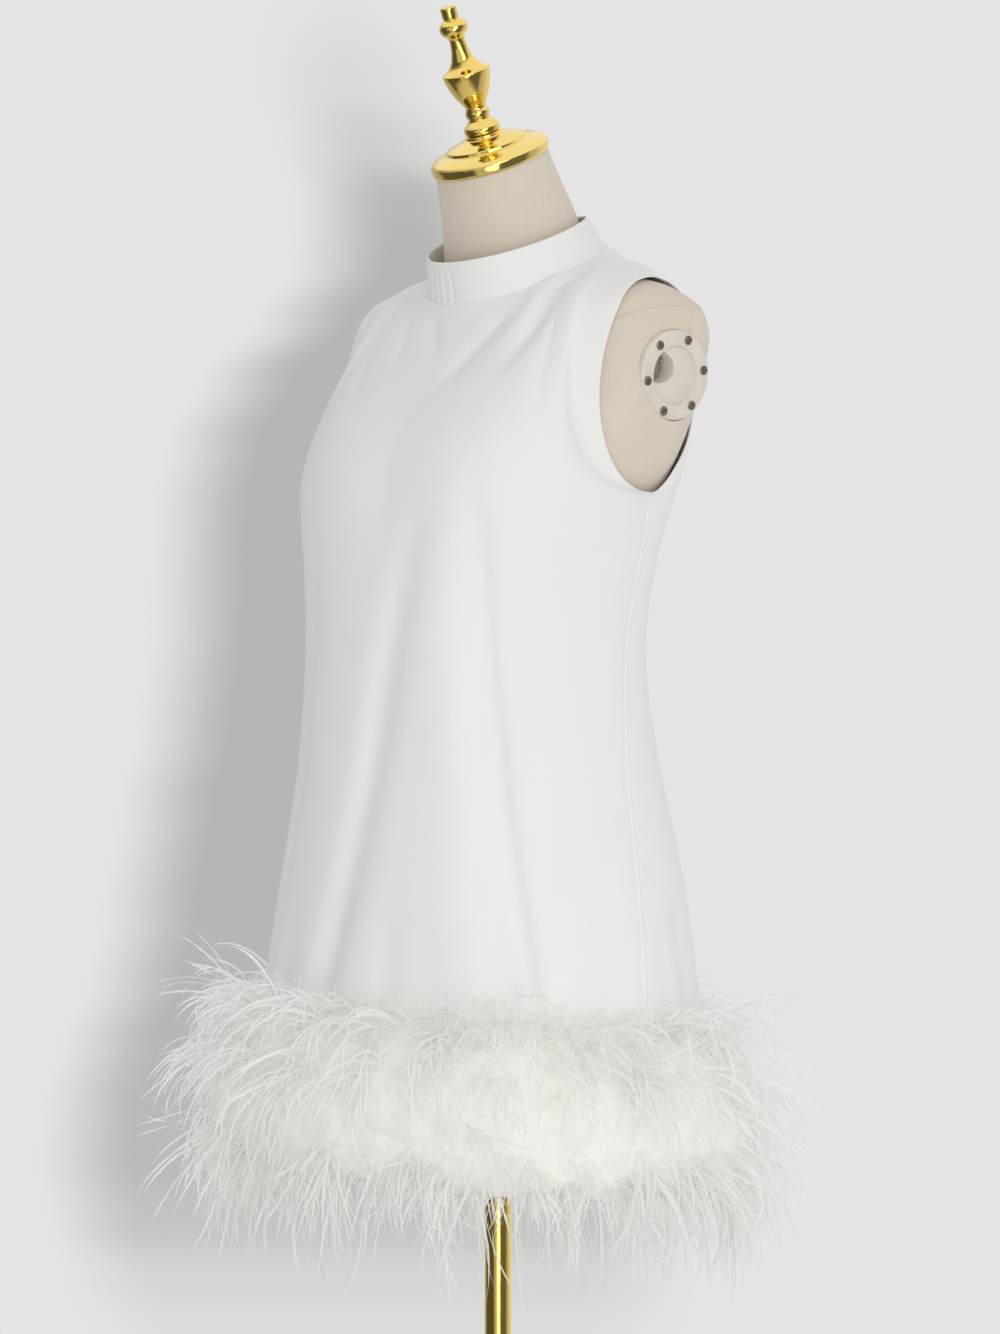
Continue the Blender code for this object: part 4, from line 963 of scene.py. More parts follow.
def crepe(name):
    """White crepe: a fine pebbled grain, a faint rib, and a soft sheen."""
    material, shader, node = surface(name, (0.865, 0.865, 0.855), 0.58)
    links = material.node_tree.links
    shader.inputs["Sheen Weight"].default_value = 0.18
    shader.inputs["Sheen Roughness"].default_value = 0.45
    shader.inputs["Specular IOR Level"].default_value = 0.35
    cut = node("UVMap", uv_map="cut").outputs["UV"]
    pebbles = node("TexNoise", {"Vector": cut, "Scale": 1500.0, "Detail": 3.0, "Roughness": 0.65})
    rib_map = node("Mapping", {"Vector": cut, "Scale": (1.0, 0.12, 1.0)})
    rib = node("TexNoise", {"Vector": rib_map.outputs["Vector"], "Scale": 900.0, "Detail": 2.0})
    grain = node("Math", {0: pebbles.outputs["Fac"], 1: rib.outputs["Fac"]},
                 operation="ADD").outputs["Value"]
    pebbled = raised(node, grain, 0.16, 0.0005)
    soft = raised(node, blotches(node, 22.0, 0.0, 1.0, (1.0, 1.0, 0.45)), 0.10, 0.004, pebbled)
    links.new(soft, shader.inputs["Normal"])
    tone = blend(node, blotches(node, 14.0, 0.0, 1.0, (1.0, 1.0, 0.4)),
                 (0.880, 0.876, 0.862), (0.855, 0.852, 0.840))
    fleck = blend(node, grain, (0.97, 0.97, 0.97), (1.0, 1.0, 1.0))
    links.new(blend(node, 1.0, tone, fleck, blend_type="MULTIPLY"), shader.inputs["Base Color"])
    links.new(blotches(node, 30.0, 0.52, 0.66), shader.inputs["Roughness"])
    return material


def cloth_shell(name, outer, normals, thickness, open_edges, material):
    """Close a grid of cloth into a thin shell, rolled over at the edges that are named."""
    roll = np.zeros(outer.shape[:2])
    for edge, span in open_edges:
        turned_over = np.interp(edge_distance(outer, edge), *EDGE_ROLL) * thickness
        roll[span] = np.maximum(roll[span], turned_over[span])
    layers = [outer - normals * roll[..., None], outer - normals * (thickness - roll)[..., None]]
    rows, columns = outer.shape[:2]
    place, corners = grid_faces(rows, columns)
    behind = rows * columns
    rim = np.concatenate([place[0, :-1], place[:-1, -1], place[-1, :0:-1], place[:0:-1, 0]])
    following = np.roll(rim, -1)
    border = np.stack([following, rim, rim + behind, following + behind], axis=-1)
    faces = np.concatenate([corners, corners[:, ::-1] + behind, border])
    mesh = bpy.data.meshes.new(name)
    mesh.from_pydata(np.concatenate([layer.reshape(-1, 3) for layer in layers]), [], faces.tolist())
    across = lengths(outer, 1)
    across = across - across[:, columns // 2:columns // 2 + 1]
    cloth_map = np.stack([across, lengths(outer, 0)], axis=-1).reshape(-1, 2)
    lay_map(mesh, "cut", np.concatenate([cloth_map, cloth_map]))
    mesh.shade_smooth()
    mesh.materials.append(material)
    piece = add_to_scene(name, mesh)
    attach(piece, "root")
    return piece


left_front, chest_row = half_panel("front")
left_back = half_panel("back")[0]
ALL_ROWS = slice(0, None)
SIDE_ROWS = slice(0, chest_row + 1)
ARM_ROWS = slice(chest_row + 1, None)
front = np.concatenate([(left_front * MIRROR)[:, ::-1], left_front[:, 1:]], axis=1)
back = np.concatenate([left_back[:, ::-1], (left_back * MIRROR)[:, 1:]], axis=1)
front = settled(front, CREPE_THICKNESS)
back = settled(back, CREPE_THICKNESS)
front_normals = grid_normals(front)
back_normals = grid_normals(back)
share_normals(front_normals[SIDE_ROWS, -1], back_normals[SIDE_ROWS, 0])
share_normals(front_normals[SIDE_ROWS, 0], back_normals[SIDE_ROWS, -1])


def shaped(grid, normals, seams):
    """Press the folds, creases and seam allowances into a panel."""
    offset = fold_offset(grid) + crease_offset(grid, CREASES)
    for edge, span, profile in seams:
        offset[span] += np.interp(edge_distance(grid, edge), *profile)[span]
    return settled(grid + normals * offset[..., None], CREPE_THICKNESS, 1)


front = shaped(front, front_normals, [("first", SIDE_ROWS, SIDE_SEAM_RELIEF),
                                      ("last", SIDE_ROWS, SIDE_SEAM_RELIEF)])
middle_column = back.shape[1] // 2
back_left = back[:, :middle_column + 1]
back_right = back[:, middle_column:]
left_normals = back_normals[:, :middle_column + 1]
right_normals = back_normals[:, middle_column:]
back_left = shaped(back_left, left_normals, [("first", SIDE_ROWS, SIDE_SEAM_RELIEF),
                                             ("last", ALL_ROWS, FLAT_SEAM_RELIEF)])
back_right = shaped(back_right, right_normals, [("first", ALL_ROWS, FLAT_SEAM_RELIEF),
                                                ("last", SIDE_ROWS, SIDE_SEAM_RELIEF)])

dress_crepe = crepe("dress crepe")
front_panel = cloth_shell("front_panel", front, front_normals, CREPE_THICKNESS,
                          [("low", ALL_ROWS), ("first", ARM_ROWS), ("last", ARM_ROWS)],
                          dress_crepe)
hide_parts("dress_front")
for side_name, grid, directions, arm_edge in (("left", back_left, left_normals, "first"),
                                              ("right", back_right, right_normals, "last")):
    back_panel = cloth_shell(f"back_panel_{side_name}", grid, directions, CREPE_THICKNESS,
                             [("low", ALL_ROWS), (arm_edge, ARM_ROWS)], dress_crepe)
    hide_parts(f"dress_back_{side_name}")


# ------------------------------------------------------------------ stand collar
# The collar is a straight band of crepe, folded double over interfacing. It is sewn round
# the neckline and stands clear of the neck, and its ends meet at centre back.

COLLAR_THICKNESS = 0.0018
COLLAR_COLUMNS = 320
COLLAR_ROWS = 18
COLLAR_HEIGHT = 0.04
COLLAR_TOP_MIDDLE = Vector((0.0, 0.0130, 1.4088))
COLLAR_LENGTH = 0.5
COLLAR_BACK_DROP = 0.010  # how much lower its top edge runs at centre back
COLLAR_DROP_POWER = 6     # how near centre back it starts to run lower
TUCK_COLUMNS = 170        # extra columns over the little tucks in front of the right shoulder
TUCK_SPAN = (-1.1, -0.1)  # where those lie, in radians round the neck from its front
COLLAR_TOP_HALF_WIDTH = 0.0715
COLLAR_TOP_HALF_DEPTH = 0.0765
COLLAR_TOP_SLOPE = 0.43
COLLAR_CREASES = [
    Crease(0.0019, -0.0019, [(-0.050, -0.036, 1.344), (-0.049, -0.041, 1.372),
                             (-0.047, -0.043, 1.408)]),
    Crease(0.0015, -0.0019, [(-0.038, -0.046, 1.338), (-0.037, -0.050, 1.368),
                             (-0.036, -0.052, 1.404)]),
    Crease(0.0015, -0.0016, [(-0.028, -0.050, 1.333), (-0.027, -0.054, 1.362),
                             (-0.026, -0.056, 1.396)]),
    Crease(0.0015, -0.0014, [(-0.018, -0.053, 1.332), (-0.018, -0.057, 1.360),
                             (-0.018, -0.059, 1.388)]),
    Crease(0.0020, -0.0011, [(-0.007, -0.055, 1.331), (-0.008, -0.059, 1.357),
                             (-0.009, -0.061, 1.382)]),
    Crease(0.0040, -0.0005, [(0.052, -0.034, 1.352), (0.050, -0.040, 1.372),
                             (0.047, -0.044, 1.390)]),
    Crease(0.0035, -0.0006, [(0.070, 0.080, 1.400), (0.066, 0.070, 1.420),
                             (0.062, 0.062, 1.436)]),
    Crease(0.0030, -0.0006, [(-0.072, 0.076, 1.398), (-0.068, 0.068, 1.418),
                             (-0.063, 0.060, 1.434)]),
]


def collar_top(turn):
    """Point of the collar's top edge; turn runs from 0 in front to pi behind."""
    y = -COLLAR_TOP_HALF_DEPTH * np.cos(turn)
    drop = COLLAR_BACK_DROP * (0.5 - 0.5 * np.cos(turn)) ** COLLAR_DROP_POWER
    return np.stack([COLLAR_TOP_HALF_WIDTH * np.sin(turn), COLLAR_TOP_MIDDLE.y + y,
                     COLLAR_TOP_MIDDLE.z + COLLAR_TOP_SLOPE * y - drop], axis=-1)


around = beside(np.linspace(0.0, 1.0, COLLAR_COLUMNS + 1), (0, 1), COLLAR_LENGTH)
around = around * 2 * math.pi - math.pi
around = np.unique(np.concatenate([around, np.linspace(*TUCK_SPAN, TUCK_COLUMNS)]))
climb = beside(np.linspace(0.0, 1.0, COLLAR_ROWS + 1), (0, 1), COLLAR_HEIGHT)[:, None, None]
collar_foot = neckline(around)[None]
collar_points = collar_foot + (collar_top(around)[None] - collar_foot) * climb
collar_points = settled(collar_points, CREPE_THICKNESS)
collar_normals = grid_normals(collar_points)
relief = crease_offset(collar_points, COLLAR_CREASES)
collar_points = collar_points + collar_normals * relief[..., None]
stand_collar = cloth_shell("stand_collar", collar_points, collar_normals, COLLAR_THICKNESS,
                           [("high", ALL_ROWS), ("first", ALL_ROWS), ("last", ALL_ROWS)],
                           dress_crepe)
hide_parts("collar")


# ------------------------------------------------------------------ covered buttons
# Two small dome buttons, covered in the same crepe, close the collar at centre back. They
# are sewn to its left end, and their loops lie hidden under them.

BUTTON_PROFILE = [(0.0, 0.0042), (0.0022, 0.0038), (0.0040, 0.0024), (0.0045, 0.0010),
                  (0.0038, 0.0), (0.0, 0.0)]
BUTTON_SIDES = 48
BUTTON_ROUNDING = 0.002
BUTTON_FOOT = 0.0019      # how far under the middle of its own box a button's foot lies

button_crepe = crepe("button crepe")
for button_name in ("lower", "upper"):
    low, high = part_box(f"collar_button_{button_name}")
    middle = (low + high) / 2
    away = np.linalg.norm(collar_points - np.array(middle), axis=-1)
    row, column = np.unravel_index(np.argmin(away), away.shape)
    outward = Vector(collar_normals[row, column])
    lean = outward.to_track_quat("Z", "Y").to_matrix().to_4x4()
    outline = eased(BUTTON_PROFILE, ROUNDING_SHARE, BUTTON_ROUNDING)
    button = turned(f"button_{button_name}", outline, BUTTON_SIDES,
                    Matrix.Translation(middle - outward * BUTTON_FOOT) @ lean)
    button.data.uv_layers.new(name="cut")
    button.data.materials.append(button_crepe)
    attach(button, "root")
    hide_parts(f"collar_button_{button_name}")


# ------------------------------------------------------------------ feather trims
# Three rows of ostrich fringe go round the skirt, each sewn on by its tape. Near the tape
# the down mats into a plump roll; longer flues leave it, stand out, droop and hook over.

TAPE_LEVEL_Z = 1.2        # height at which the hem's lift has faded out of the tapes
DOWN_COLUMNS = 440
DOWN_ROWS = 26
FLUE_LIMIT = 0.098        # how far from the skirt the flues may reach

# Each roll of down: its top and bottom, how far it bulges, where the bulge is widest, and
# the seed of its lumps.
DownRoll = namedtuple("DownRoll", "name top bottom bulge widest seed")
DOWN_ROLLS = [
    DownRoll("top", 0.698, 0.600, 0.026, 0.50, 11),
    DownRoll("middle", 0.685, 0.565, 0.034, 0.50, 12),
    DownRoll("bottom", 0.650, 0.553, 0.030, 0.46, 13),
]
DOWN_CLEARANCE = 0.0006   # between a roll's edges and the cloth
DOWN_LUMPS = ((21.0, 1.0), (48.0, 0.55))      # how fine each is, and how much it counts
DOWN_TUFTS = ((110.0, 1.0), (230.0, 0.6))
LUMP_SHARE = 0.24         # of a roll's bulge
TUFT_SHARE = 0.05
ROLL_POWER = 0.6          # under 1, the roll leaves the cloth more steeply
EDGE_WANDER = 0.009       # how far a roll's edges wander up and down
STRAY_SCALES = (34.0, 90.0)
STRAY_FINE = 0.5          # how much the finer of them counts
STRAY_UP = 0.4            # of its wander upwards, the share that the upper edge keeps

# Each growth of flues: its trim, the height and outset of its roots, bunches round the
# skirt, flues in a bunch, lengths, how steeply they leave (degrees above level), how fast
# they droop, how much they hook, how far a bunch fans out (degrees), half width, and seed.
Growth = namedtuple("Growth", "trim z outset bunches flues shortest longest rise_low rise_high "
                              "sag curl fan width seed")
GROWTHS = [
    Growth("top", 0.696, 0.002, 620, 3, 0.012, 0.030, 15, 80, 1.0, 1.0, 20, 0.00050, 24),
    Growth("top", 0.680, 0.014, 900, 3, 0.018, 0.045, -30, 60, 2.2, 2.0, 24, 0.00050, 21),
    Growth("top", 0.682, 0.012, 150, 6, 0.050, 0.090, -15, 50, 2.2, 1.2, 20, 0.00070, 22),
    Growth("top", 0.688, 0.010, 120, 5, 0.080, 0.135, 0, 48, 2.1, 1.0, 15, 0.00120, 23),
    Growth("middle", 0.640, 0.022, 1000, 3, 0.018, 0.045, -60, 30, 2.2, 2.0, 24, 0.00050, 31),
    Growth("middle", 0.645, 0.014, 160, 6, 0.060, 0.100, -45, 25, 2.0, 1.2, 20, 0.00070, 32),
    Growth("middle", 0.648, 0.012, 130, 5, 0.085, 0.140, -35, 25, 2.0, 1.0, 15, 0.00120, 33),
    Growth("bottom", 0.590, 0.018, 900, 3, 0.018, 0.045, -80, 0, 2.0, 2.0, 24, 0.00050, 41),
    Growth("bottom", 0.576, 0.010, 300, 4, 0.025, 0.060, -90, -40, 1.4, 1.0, 24, 0.00070, 44),
    Growth("bottom", 0.590, 0.012, 150, 6, 0.060, 0.105, -80, -20, 1.6, 1.0, 20, 0.00070, 42),
    Growth("bottom", 0.595, 0.012, 140, 5, 0.080, 0.140, -80, -10, 1.6, 0.8, 15, 0.00120, 43),
    Growth("bottom", 0.572, 0.010, 170, 3, 0.070, 0.130, -90, -55, 1.0, 0.7, 13, 0.00125, 45),
]

# How flues vary. A bunch varies as one, and each flue in it varies again by itself.
ROOT_SPREAD = 0.003       # along the tape
BUNCH_LEVEL = 0.010       # up and down, in metres
FLUE_LEVEL = 0.002
BUNCH_SWING = 30.0        # to either side, in degrees
RISE_FAN = 0.6            # how much of its fan a bunch also spreads up and down by
FLUE_LENGTHS = (0.65, 1.0)
BUNCH_SAGS = (0.5, 1.4)
FLUE_SAGS = (0.8, 1.2)
SAG_START = 0.35          # how fast a flue droops at its root
SAG_GAIN = 1.3            # and how much faster towards its tip
HOOK_SIDEWAYS = 0.6
HOOK_SPREAD = 0.30
BUNCH_CURLS = (2.2, 0.5)  # shape and scale of the spread
FLUE_CURLS = (0.5, 1.5)
CURL_POWER = 1.5          # how much of the hooking over comes towards the tip
CURL_RATE = 2.2
WAVE_TURN = 6.0           # how far the small waves turn from root to tip, in radians
WAVE_SIZE = 0.04
SKIRT_HEIGHTS = (0.545, 0.80)     # between which the skirt's sections are read
FLUE_CLEARANCE = 0.006    # from the skirt at the root, and twice that at the tip
UNDER_HEM_Z = 0.52        # from here down the skirt doesn't push flues out
UNDER_HEM_FADE = 0.03     # and over this height above it the push sets in
SHORT_FLUE = 0.065        # a growth whose flues are all under this length needs fewer steps
SHORT_STEPS = 8
LONG_STEPS = 15

# A flue as a blade: shares of its half width at places from root to tip, how that width
# varies from flue to flue and along either edge, how it twists, and its tone.
BLADE_WIDTHS = ((0.0, 0.12, 0.7, 1.0), (0.5, 1.0, 0.85, 0.15))
BLADE_SPREAD = (0.7, 1.25)
BARB_SPREAD = (0.5, 1.3)
TWIST_SPREAD = 2.0
BUNCH_TONES = (0.5, 0.3)  # middle and spread
FLUE_TONE = 0.15

UP = np.array([0.0, 0.0, 1.0])
skirt_ring = np.concatenate([front, back_left[:, 1:], back_right[:, 1:]], axis=1)[SIDE_ROWS]
skirt_normals = np.concatenate([front_normals, left_normals[:, 1:], right_normals[:, 1:]],
                               axis=1)[SIDE_ROWS]


def unit(vectors):
    """Scale vectors to length 1."""
    return vectors / np.maximum(np.linalg.norm(vectors, axis=-1, keepdims=True), 1e-9)


def skirt_line(z):
    """Points and directions round the skirt at a height above the hem's own lift."""
    heights = skirt_ring[..., 2]
    level = z + (heights[0] - HEM_Z) * (TAPE_LEVEL_Z - z) / (TAPE_LEVEL_Z - HEM_Z)
    points = np.empty((heights.shape[1], 3))
    normals = np.empty_like(points)
    for column in range(heights.shape[1]):
        for i in range(3):
            for wanted, known in ((points, skirt_ring), (normals, skirt_normals)):
                wanted[column, i] = np.interp(level[column], heights[:, column],
                                              known[:, column, i])
    points[:, 2] -= max(0.0, HEM_Z - z)
    return points, unit(normals)


def along_line(line, along, place):
    """Read a closed line of vectors at places along it."""
    return np.stack([np.interp(place, along, line[:, i]) for i in range(3)], axis=-1)


def lumpy(spot, layers):
    """Uneven height at a spot, from coarse and fine lumps together."""
    return sum(share * noise.noise(spot * scale) for scale, share in layers)


def down_roll(roll):
    """One roll of matted down: an uneven, rounded skin that starts and ends on the cloth."""
    rows = []
    seed = Vector((0, 0, roll.seed))
    coarse, fine = STRAY_SCALES
    for k in range(DOWN_ROWS + 1):
        run = k / DOWN_ROWS
        line, normals = skirt_line(roll.top + (roll.bottom - roll.top) * run)
        along = lengths(line, 0)
        place = np.linspace(0.0, along[-1], DOWN_COLUMNS + 1)
        points = along_line(line, along, place)
        outward = unit(along_line(normals, along, place))
        skewed = min(1.0, run ** (math.log(0.5) / math.log(roll.widest)))
        swell = math.sin(math.pi * skewed) ** ROLL_POWER
        height = np.empty(len(points))
        wander = np.empty(len(points))
        for i, point in enumerate(points):
            spot = Vector(point)
            lumps = LUMP_SHARE * lumpy(spot + seed, DOWN_LUMPS)
            height[i] = roll.bulge * (1.0 + lumps + TUFT_SHARE * lumpy(spot + seed, DOWN_TUFTS))
            wander[i] = (noise.noise(spot * coarse + seed * 3.0)
                         + STRAY_FINE * noise.noise(spot * fine))
        height[-1] = height[0]
        wander[-1] = wander[0]
        strays = EDGE_WANDER * wander * ((1 - run) ** 4 + run ** 3)
        lower, upper = run > 0.5, run < 0.5
        points[:, 2] += np.where(strays > 0, strays * (1 if lower else STRAY_UP), strays * upper)
        rows.append(points + outward * (DOWN_CLEARANCE + height * swell)[:, None])
    mesh = sheet_mesh(f"down_{roll.name}", np.array(rows)[::-1], "cut")
    mesh.shade_smooth()
    return mesh


def outside_skirt(points, s):
    """Keep flues off the cloth and within their reach; s runs from root to tip."""
    z = np.clip(points[:, 2], *SKIRT_HEIGHTS)
    middle = section_column("middle", z)
    angle = np.arctan2(points[:, 0], middle - points[:, 1])
    depth = np.where(np.cos(angle) > 0, section_column("front", z), section_column("back", z))
    half_width = section_column("half_width", z)
    radius = 1.0 / np.sqrt((np.sin(angle) / half_width) ** 2 + (np.cos(angle) / depth) ** 2)
    reach = np.hypot(points[:, 0], points[:, 1] - middle)
    short = np.maximum(0.0, radius + FLUE_CLEARANCE + FLUE_CLEARANCE * s - reach)
    short *= np.clip((points[:, 2] - UNDER_HEM_Z) / UNDER_HEM_FADE, 0.0, 1.0)
    short -= np.maximum(0.0, reach - radius - FLUE_LIMIT)
    moved = points.copy()
    moved[:, 0] += np.sin(angle) * short
    moved[:, 1] -= np.cos(angle) * short
    return moved


def grow(growth, draw, steps):
    """Let flues grow in bunches: their points from root to tip, and the bunch of each."""
    line, normals = skirt_line(growth.z)
    along = lengths(line, 0)
    count = growth.bunches * growth.flues
    bunch = np.repeat(np.arange(growth.bunches), growth.flues)
    place = draw.uniform(0.0, along[-1], growth.bunches)[bunch]
    place = np.mod(place + draw.normal(0.0, ROOT_SPREAD, count), along[-1])
    outward = unit(along_line(normals, along, place))
    sideways = unit(np.cross(UP, outward))
    level = draw.normal(0.0, BUNCH_LEVEL, growth.bunches)[bunch]
    level = (level + draw.normal(0.0, FLUE_LEVEL, count))[:, None]
    root = along_line(line, along, place) + outward * growth.outset + UP * level
    rise = draw.uniform(growth.rise_low, growth.rise_high, growth.bunches)[bunch]
    rise = np.radians(rise + draw.normal(0.0, growth.fan * RISE_FAN, count))[:, None]
    swing = draw.normal(0.0, BUNCH_SWING, growth.bunches)[bunch]
    swing = np.radians(swing + draw.normal(0.0, growth.fan, count))[:, None]
    heading = (outward * np.cos(swing) + sideways * np.sin(swing)) * np.cos(rise)
    heading = heading + UP * np.sin(rise)
    length = draw.uniform(growth.shortest, growth.longest, growth.bunches)[bunch]
    length = length * draw.uniform(*FLUE_LENGTHS, count)
    sag = growth.sag * draw.uniform(*BUNCH_SAGS, growth.bunches)[bunch]
    sag = (sag * draw.uniform(*FLUE_SAGS, count))[:, None]
    hook = draw.normal(0.0, 1.0, (growth.bunches, 3))
    hook = unit(hook + sideways[::growth.flues] * HOOK_SIDEWAYS)
    hook = hook[bunch] + draw.normal(0.0, HOOK_SPREAD, (count, 3))
    curl = growth.curl * draw.gamma(*BUNCH_CURLS, growth.bunches)[bunch]
    curl = (curl * draw.uniform(*FLUE_CURLS, count))[:, None]
    wave_axis = unit(draw.normal(0.0, 1.0, (count, 3)))
    wave = draw.uniform(0.0, 2 * math.pi, (count, 1))
    points = [root]
    for step in range(steps):
        s = (step + 0.5) / steps
        heading = heading - UP * sag / steps * (SAG_START + SAG_GAIN * s)
        heading = heading + np.cross(hook, heading) * curl * s ** CURL_POWER * CURL_RATE / steps
        heading = unit(heading + wave_axis * np.sin(wave + WAVE_TURN * s) * WAVE_SIZE)
        points.append(outside_skirt(points[-1] + heading * length[:, None] / steps, s))
    return np.stack(points, axis=1), bunch


def blades(flues, widths, draw):
    """Widen flues into narrow blades with uneven edges: their points and triangles."""
    count, stations = flues.shape[:2]
    steps = stations - 1
    headings = unit(np.gradient(flues, axis=1))
    twist = draw.uniform(0.0, 2 * math.pi, (count, 1))
    along = np.linspace(0, 1, stations)
    twist = twist + along[None] * draw.normal(0.0, TWIST_SPREAD, (count, 1))
    reference = unit(np.cross(headings, draw.normal(0.0, 1.0, (count, 1, 3))))
    other = np.cross(headings, reference)
    across = reference * np.cos(twist)[..., None] + other * np.sin(twist)[..., None]
    swell = np.interp(along, *BLADE_WIDTHS)
    barb = across * (swell[None] * widths[:, None])[..., None]
    left = flues + barb * draw.uniform(*BARB_SPREAD, (count, stations, 1))
    right = flues - barb * draw.uniform(*BARB_SPREAD, (count, stations, 1))
    points = np.concatenate([left[:, :-1], right[:, :-1], flues[:, -1:]], axis=1)
    k = np.arange(steps - 1)
    pattern = np.concatenate([np.stack([k, k + steps, k + 1], axis=-1),
                              np.stack([k + 1, k + steps, k + steps + 1], axis=-1),
                              [[steps - 1, 2 * steps - 1, 2 * steps]]])
    faces = (pattern[None] + (np.arange(count) * points.shape[1])[:, None, None]).reshape(-1, 3)
    run = np.arange(steps) / steps
    return points.reshape(-1, 3), faces, np.tile(np.concatenate([run, run, [1.0]]), count)


def flue_mesh(name, parts):
    """Join blades into one mesh, with each one's tone and its run from root to tip."""
    points = np.concatenate([part[0] for part in parts])
    starts = np.cumsum([0] + [len(part[0]) for part in parts[:-1]])
    faces = np.concatenate([part[1] + start for part, start in zip(parts, starts)])
    mesh = bpy.data.meshes.new(name)
    mesh.vertices.add(len(points))
    mesh.vertices.foreach_set("co", points.astype(np.float32).ravel())
    mesh.loops.add(len(faces) * 3)
    mesh.loops.foreach_set("vertex_index", faces.astype(np.int32).ravel())
    mesh.polygons.add(len(faces))
    mesh.polygons.foreach_set("loop_start", np.arange(0, len(faces) * 3, 3, dtype=np.int32))
    mesh.update(calc_edges=True)
    colour = mesh.color_attributes.new("flue", "FLOAT_COLOR", "POINT")
    values = np.ones((len(points), 4), np.float32)
    values[:, 0] = np.concatenate([part[3] for part in parts])
    values[:, 1] = np.concatenate([part[2] for part in parts])
    colour.data.foreach_set("color", values.ravel())
    mesh.shade_smooth()
    return mesh


def matted_down(name):
    """Matted down: cream white, very soft, with faint streaks where flues lie on it."""
    material, shader, node = surface(name, (0.93, 0.905, 0.87), 0.85)
    links = material.node_tree.links
    shader.inputs["Specular IOR Level"].default_value = 0.1
    shader.inputs["Sheen Weight"].default_value = 0.35
    shader.inputs["Sheen Roughness"].default_value = 0.6
    tone = blend(node, blotches(node, 30.0, 0.0, 1.0), (0.940, 0.922, 0.894),
                 (0.915, 0.894, 0.868))
    links.new(tone, shader.inputs["Base Color"])
    tufts = blotches(node, 160.0, 0.0, 1.0, (1.0, 1.0, 0.4))
    links.new(raised(node, tufts, 0.35, 0.002), shader.inputs["Normal"])
    return material


def ostrich_down(name):
    """Ostrich flues: soft, thin and see-through to light, cream at the root, white at the tip."""
    material, shader, node = surface(name, (0.95, 0.94, 0.92), 0.7)
    tree = material.node_tree
    shader.inputs["Specular IOR Level"].default_value = 0.15
    flue = node("Attribute", attribute_name="flue", attribute_type="GEOMETRY")
    parts = node("SeparateColor", {"Color": flue.outputs["Color"]}).outputs
    root_tip = blend(node, parts["Green"], (0.985, 0.975, 0.968), (1.0, 0.998, 0.997))
    dyed = blend(node, parts["Red"], (0.985, 0.982, 0.98), (1.0, 1.0, 1.0))
    colour = blend(node, 1.0, root_tip, dyed, blend_type="MULTIPLY")
    tree.links.new(colour, shader.inputs["Base Color"])
    through = node("BsdfTranslucent", {"Color": colour})
    both = node("MixShader", {0: 0.54, 1: shader.outputs["BSDF"], 2: through.outputs["BSDF"]})
    tree.links.new(both.outputs["Shader"], tree.nodes["Material Output"].inputs["Surface"])
    return material


down = matted_down("matted down")
ostrich = ostrich_down("ostrich flues")
for roll in DOWN_ROLLS:
    fringe = add_to_scene(f"down_roll_{roll.name}", down_roll(roll))
    fringe.data.materials.append(down)
    parts = []
    for growth in GROWTHS:
        if growth.trim != roll.name:
            continue
        draw = np.random.default_rng(growth.seed)
        steps = SHORT_STEPS if growth.longest < SHORT_FLUE else LONG_STEPS
        flues, bunch = grow(growth, draw, steps)
        widths = growth.width * draw.uniform(*BLADE_SPREAD, len(flues))
        tones = draw.normal(*BUNCH_TONES, growth.bunches)[bunch]
        tones = np.clip(tones + draw.normal(0, FLUE_TONE, len(flues)), 0, 1)
        points, faces, run = blades(flues, widths, draw)
        parts.append((points, faces, run, np.repeat(tones, len(points) // len(flues))))
    hanging = add_to_scene(f"flues_{roll.name}", flue_mesh(f"flues_{roll.name}", parts))
    hanging.data.materials.append(ostrich)
    for piece in (fringe, hanging):
        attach(piece, "root")
        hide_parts(f"feather_trim_{roll.name}")


# ------------------------------------------------------------------ studio
# A pale floor fades into a pale backdrop. Three large soft lights stand round the camera:
# the key above it, a low fill under it and a fill to its left. The camera looks level.

CAMERA_AZIMUTH = math.radians(37.0)
CAMERA_HEIGHT = 1.011
CAMERA_DISTANCE = 2.8
CAMERA_VIEW_HEIGHT = math.radians(24.65)
CAMERA_SENSOR = 24.0      # in millimetres
VIEW_PIXELS_HIGH = 1334
VIEW_PIXELS_SHIFT = 2     # sideways
FLOOR_RADIUS = 1.7
FLOOR_Z = -0.0005
FLOOR_PROFILE = [(0.0, FLOOR_Z), (0.6, FLOOR_Z), (FLOOR_RADIUS, FLOOR_Z)]
FLOOR_SIDES = 96
FLOOR_FADE = 0.55         # radius at which the floor begins to fade out
FLOOR_CLEAR_RIM = 0.05
toward_camera = Vector((math.sin(CAMERA_AZIMUTH), -math.cos(CAMERA_AZIMUTH), 0.0))
camera_right = Vector((math.cos(CAMERA_AZIMUTH), math.sin(CAMERA_AZIMUTH), 0.0))

floor = turned("floor_disc", FLOOR_PROFILE, FLOOR_SIDES)
floor_material, floor_shader, floor_node = surface("floor paint", (0.80, 0.80, 0.81), 0.9)
from_middle = floor_node("VectorMath", {0: floor_node("TexCoord").outputs["Object"]},
                         operation="LENGTH")
fade = floor_node("MapRange", {"Value": from_middle.outputs["Value"], "From Min": FLOOR_FADE,
                               "From Max": FLOOR_RADIUS - FLOOR_CLEAR_RIM},
                  interpolation_type="SMOOTHSTEP")
floor_mix = floor_node("MixShader", {0: fade.outputs["Result"], 1: floor_shader.outputs["BSDF"],
                                     2: floor_node("BsdfTransparent").outputs["BSDF"]})
floor_tree = floor_material.node_tree
floor_tree.links.new(floor_mix.outputs["Shader"],
                     floor_tree.nodes["Material Output"].inputs["Surface"])
floor.data.materials.append(floor_material)

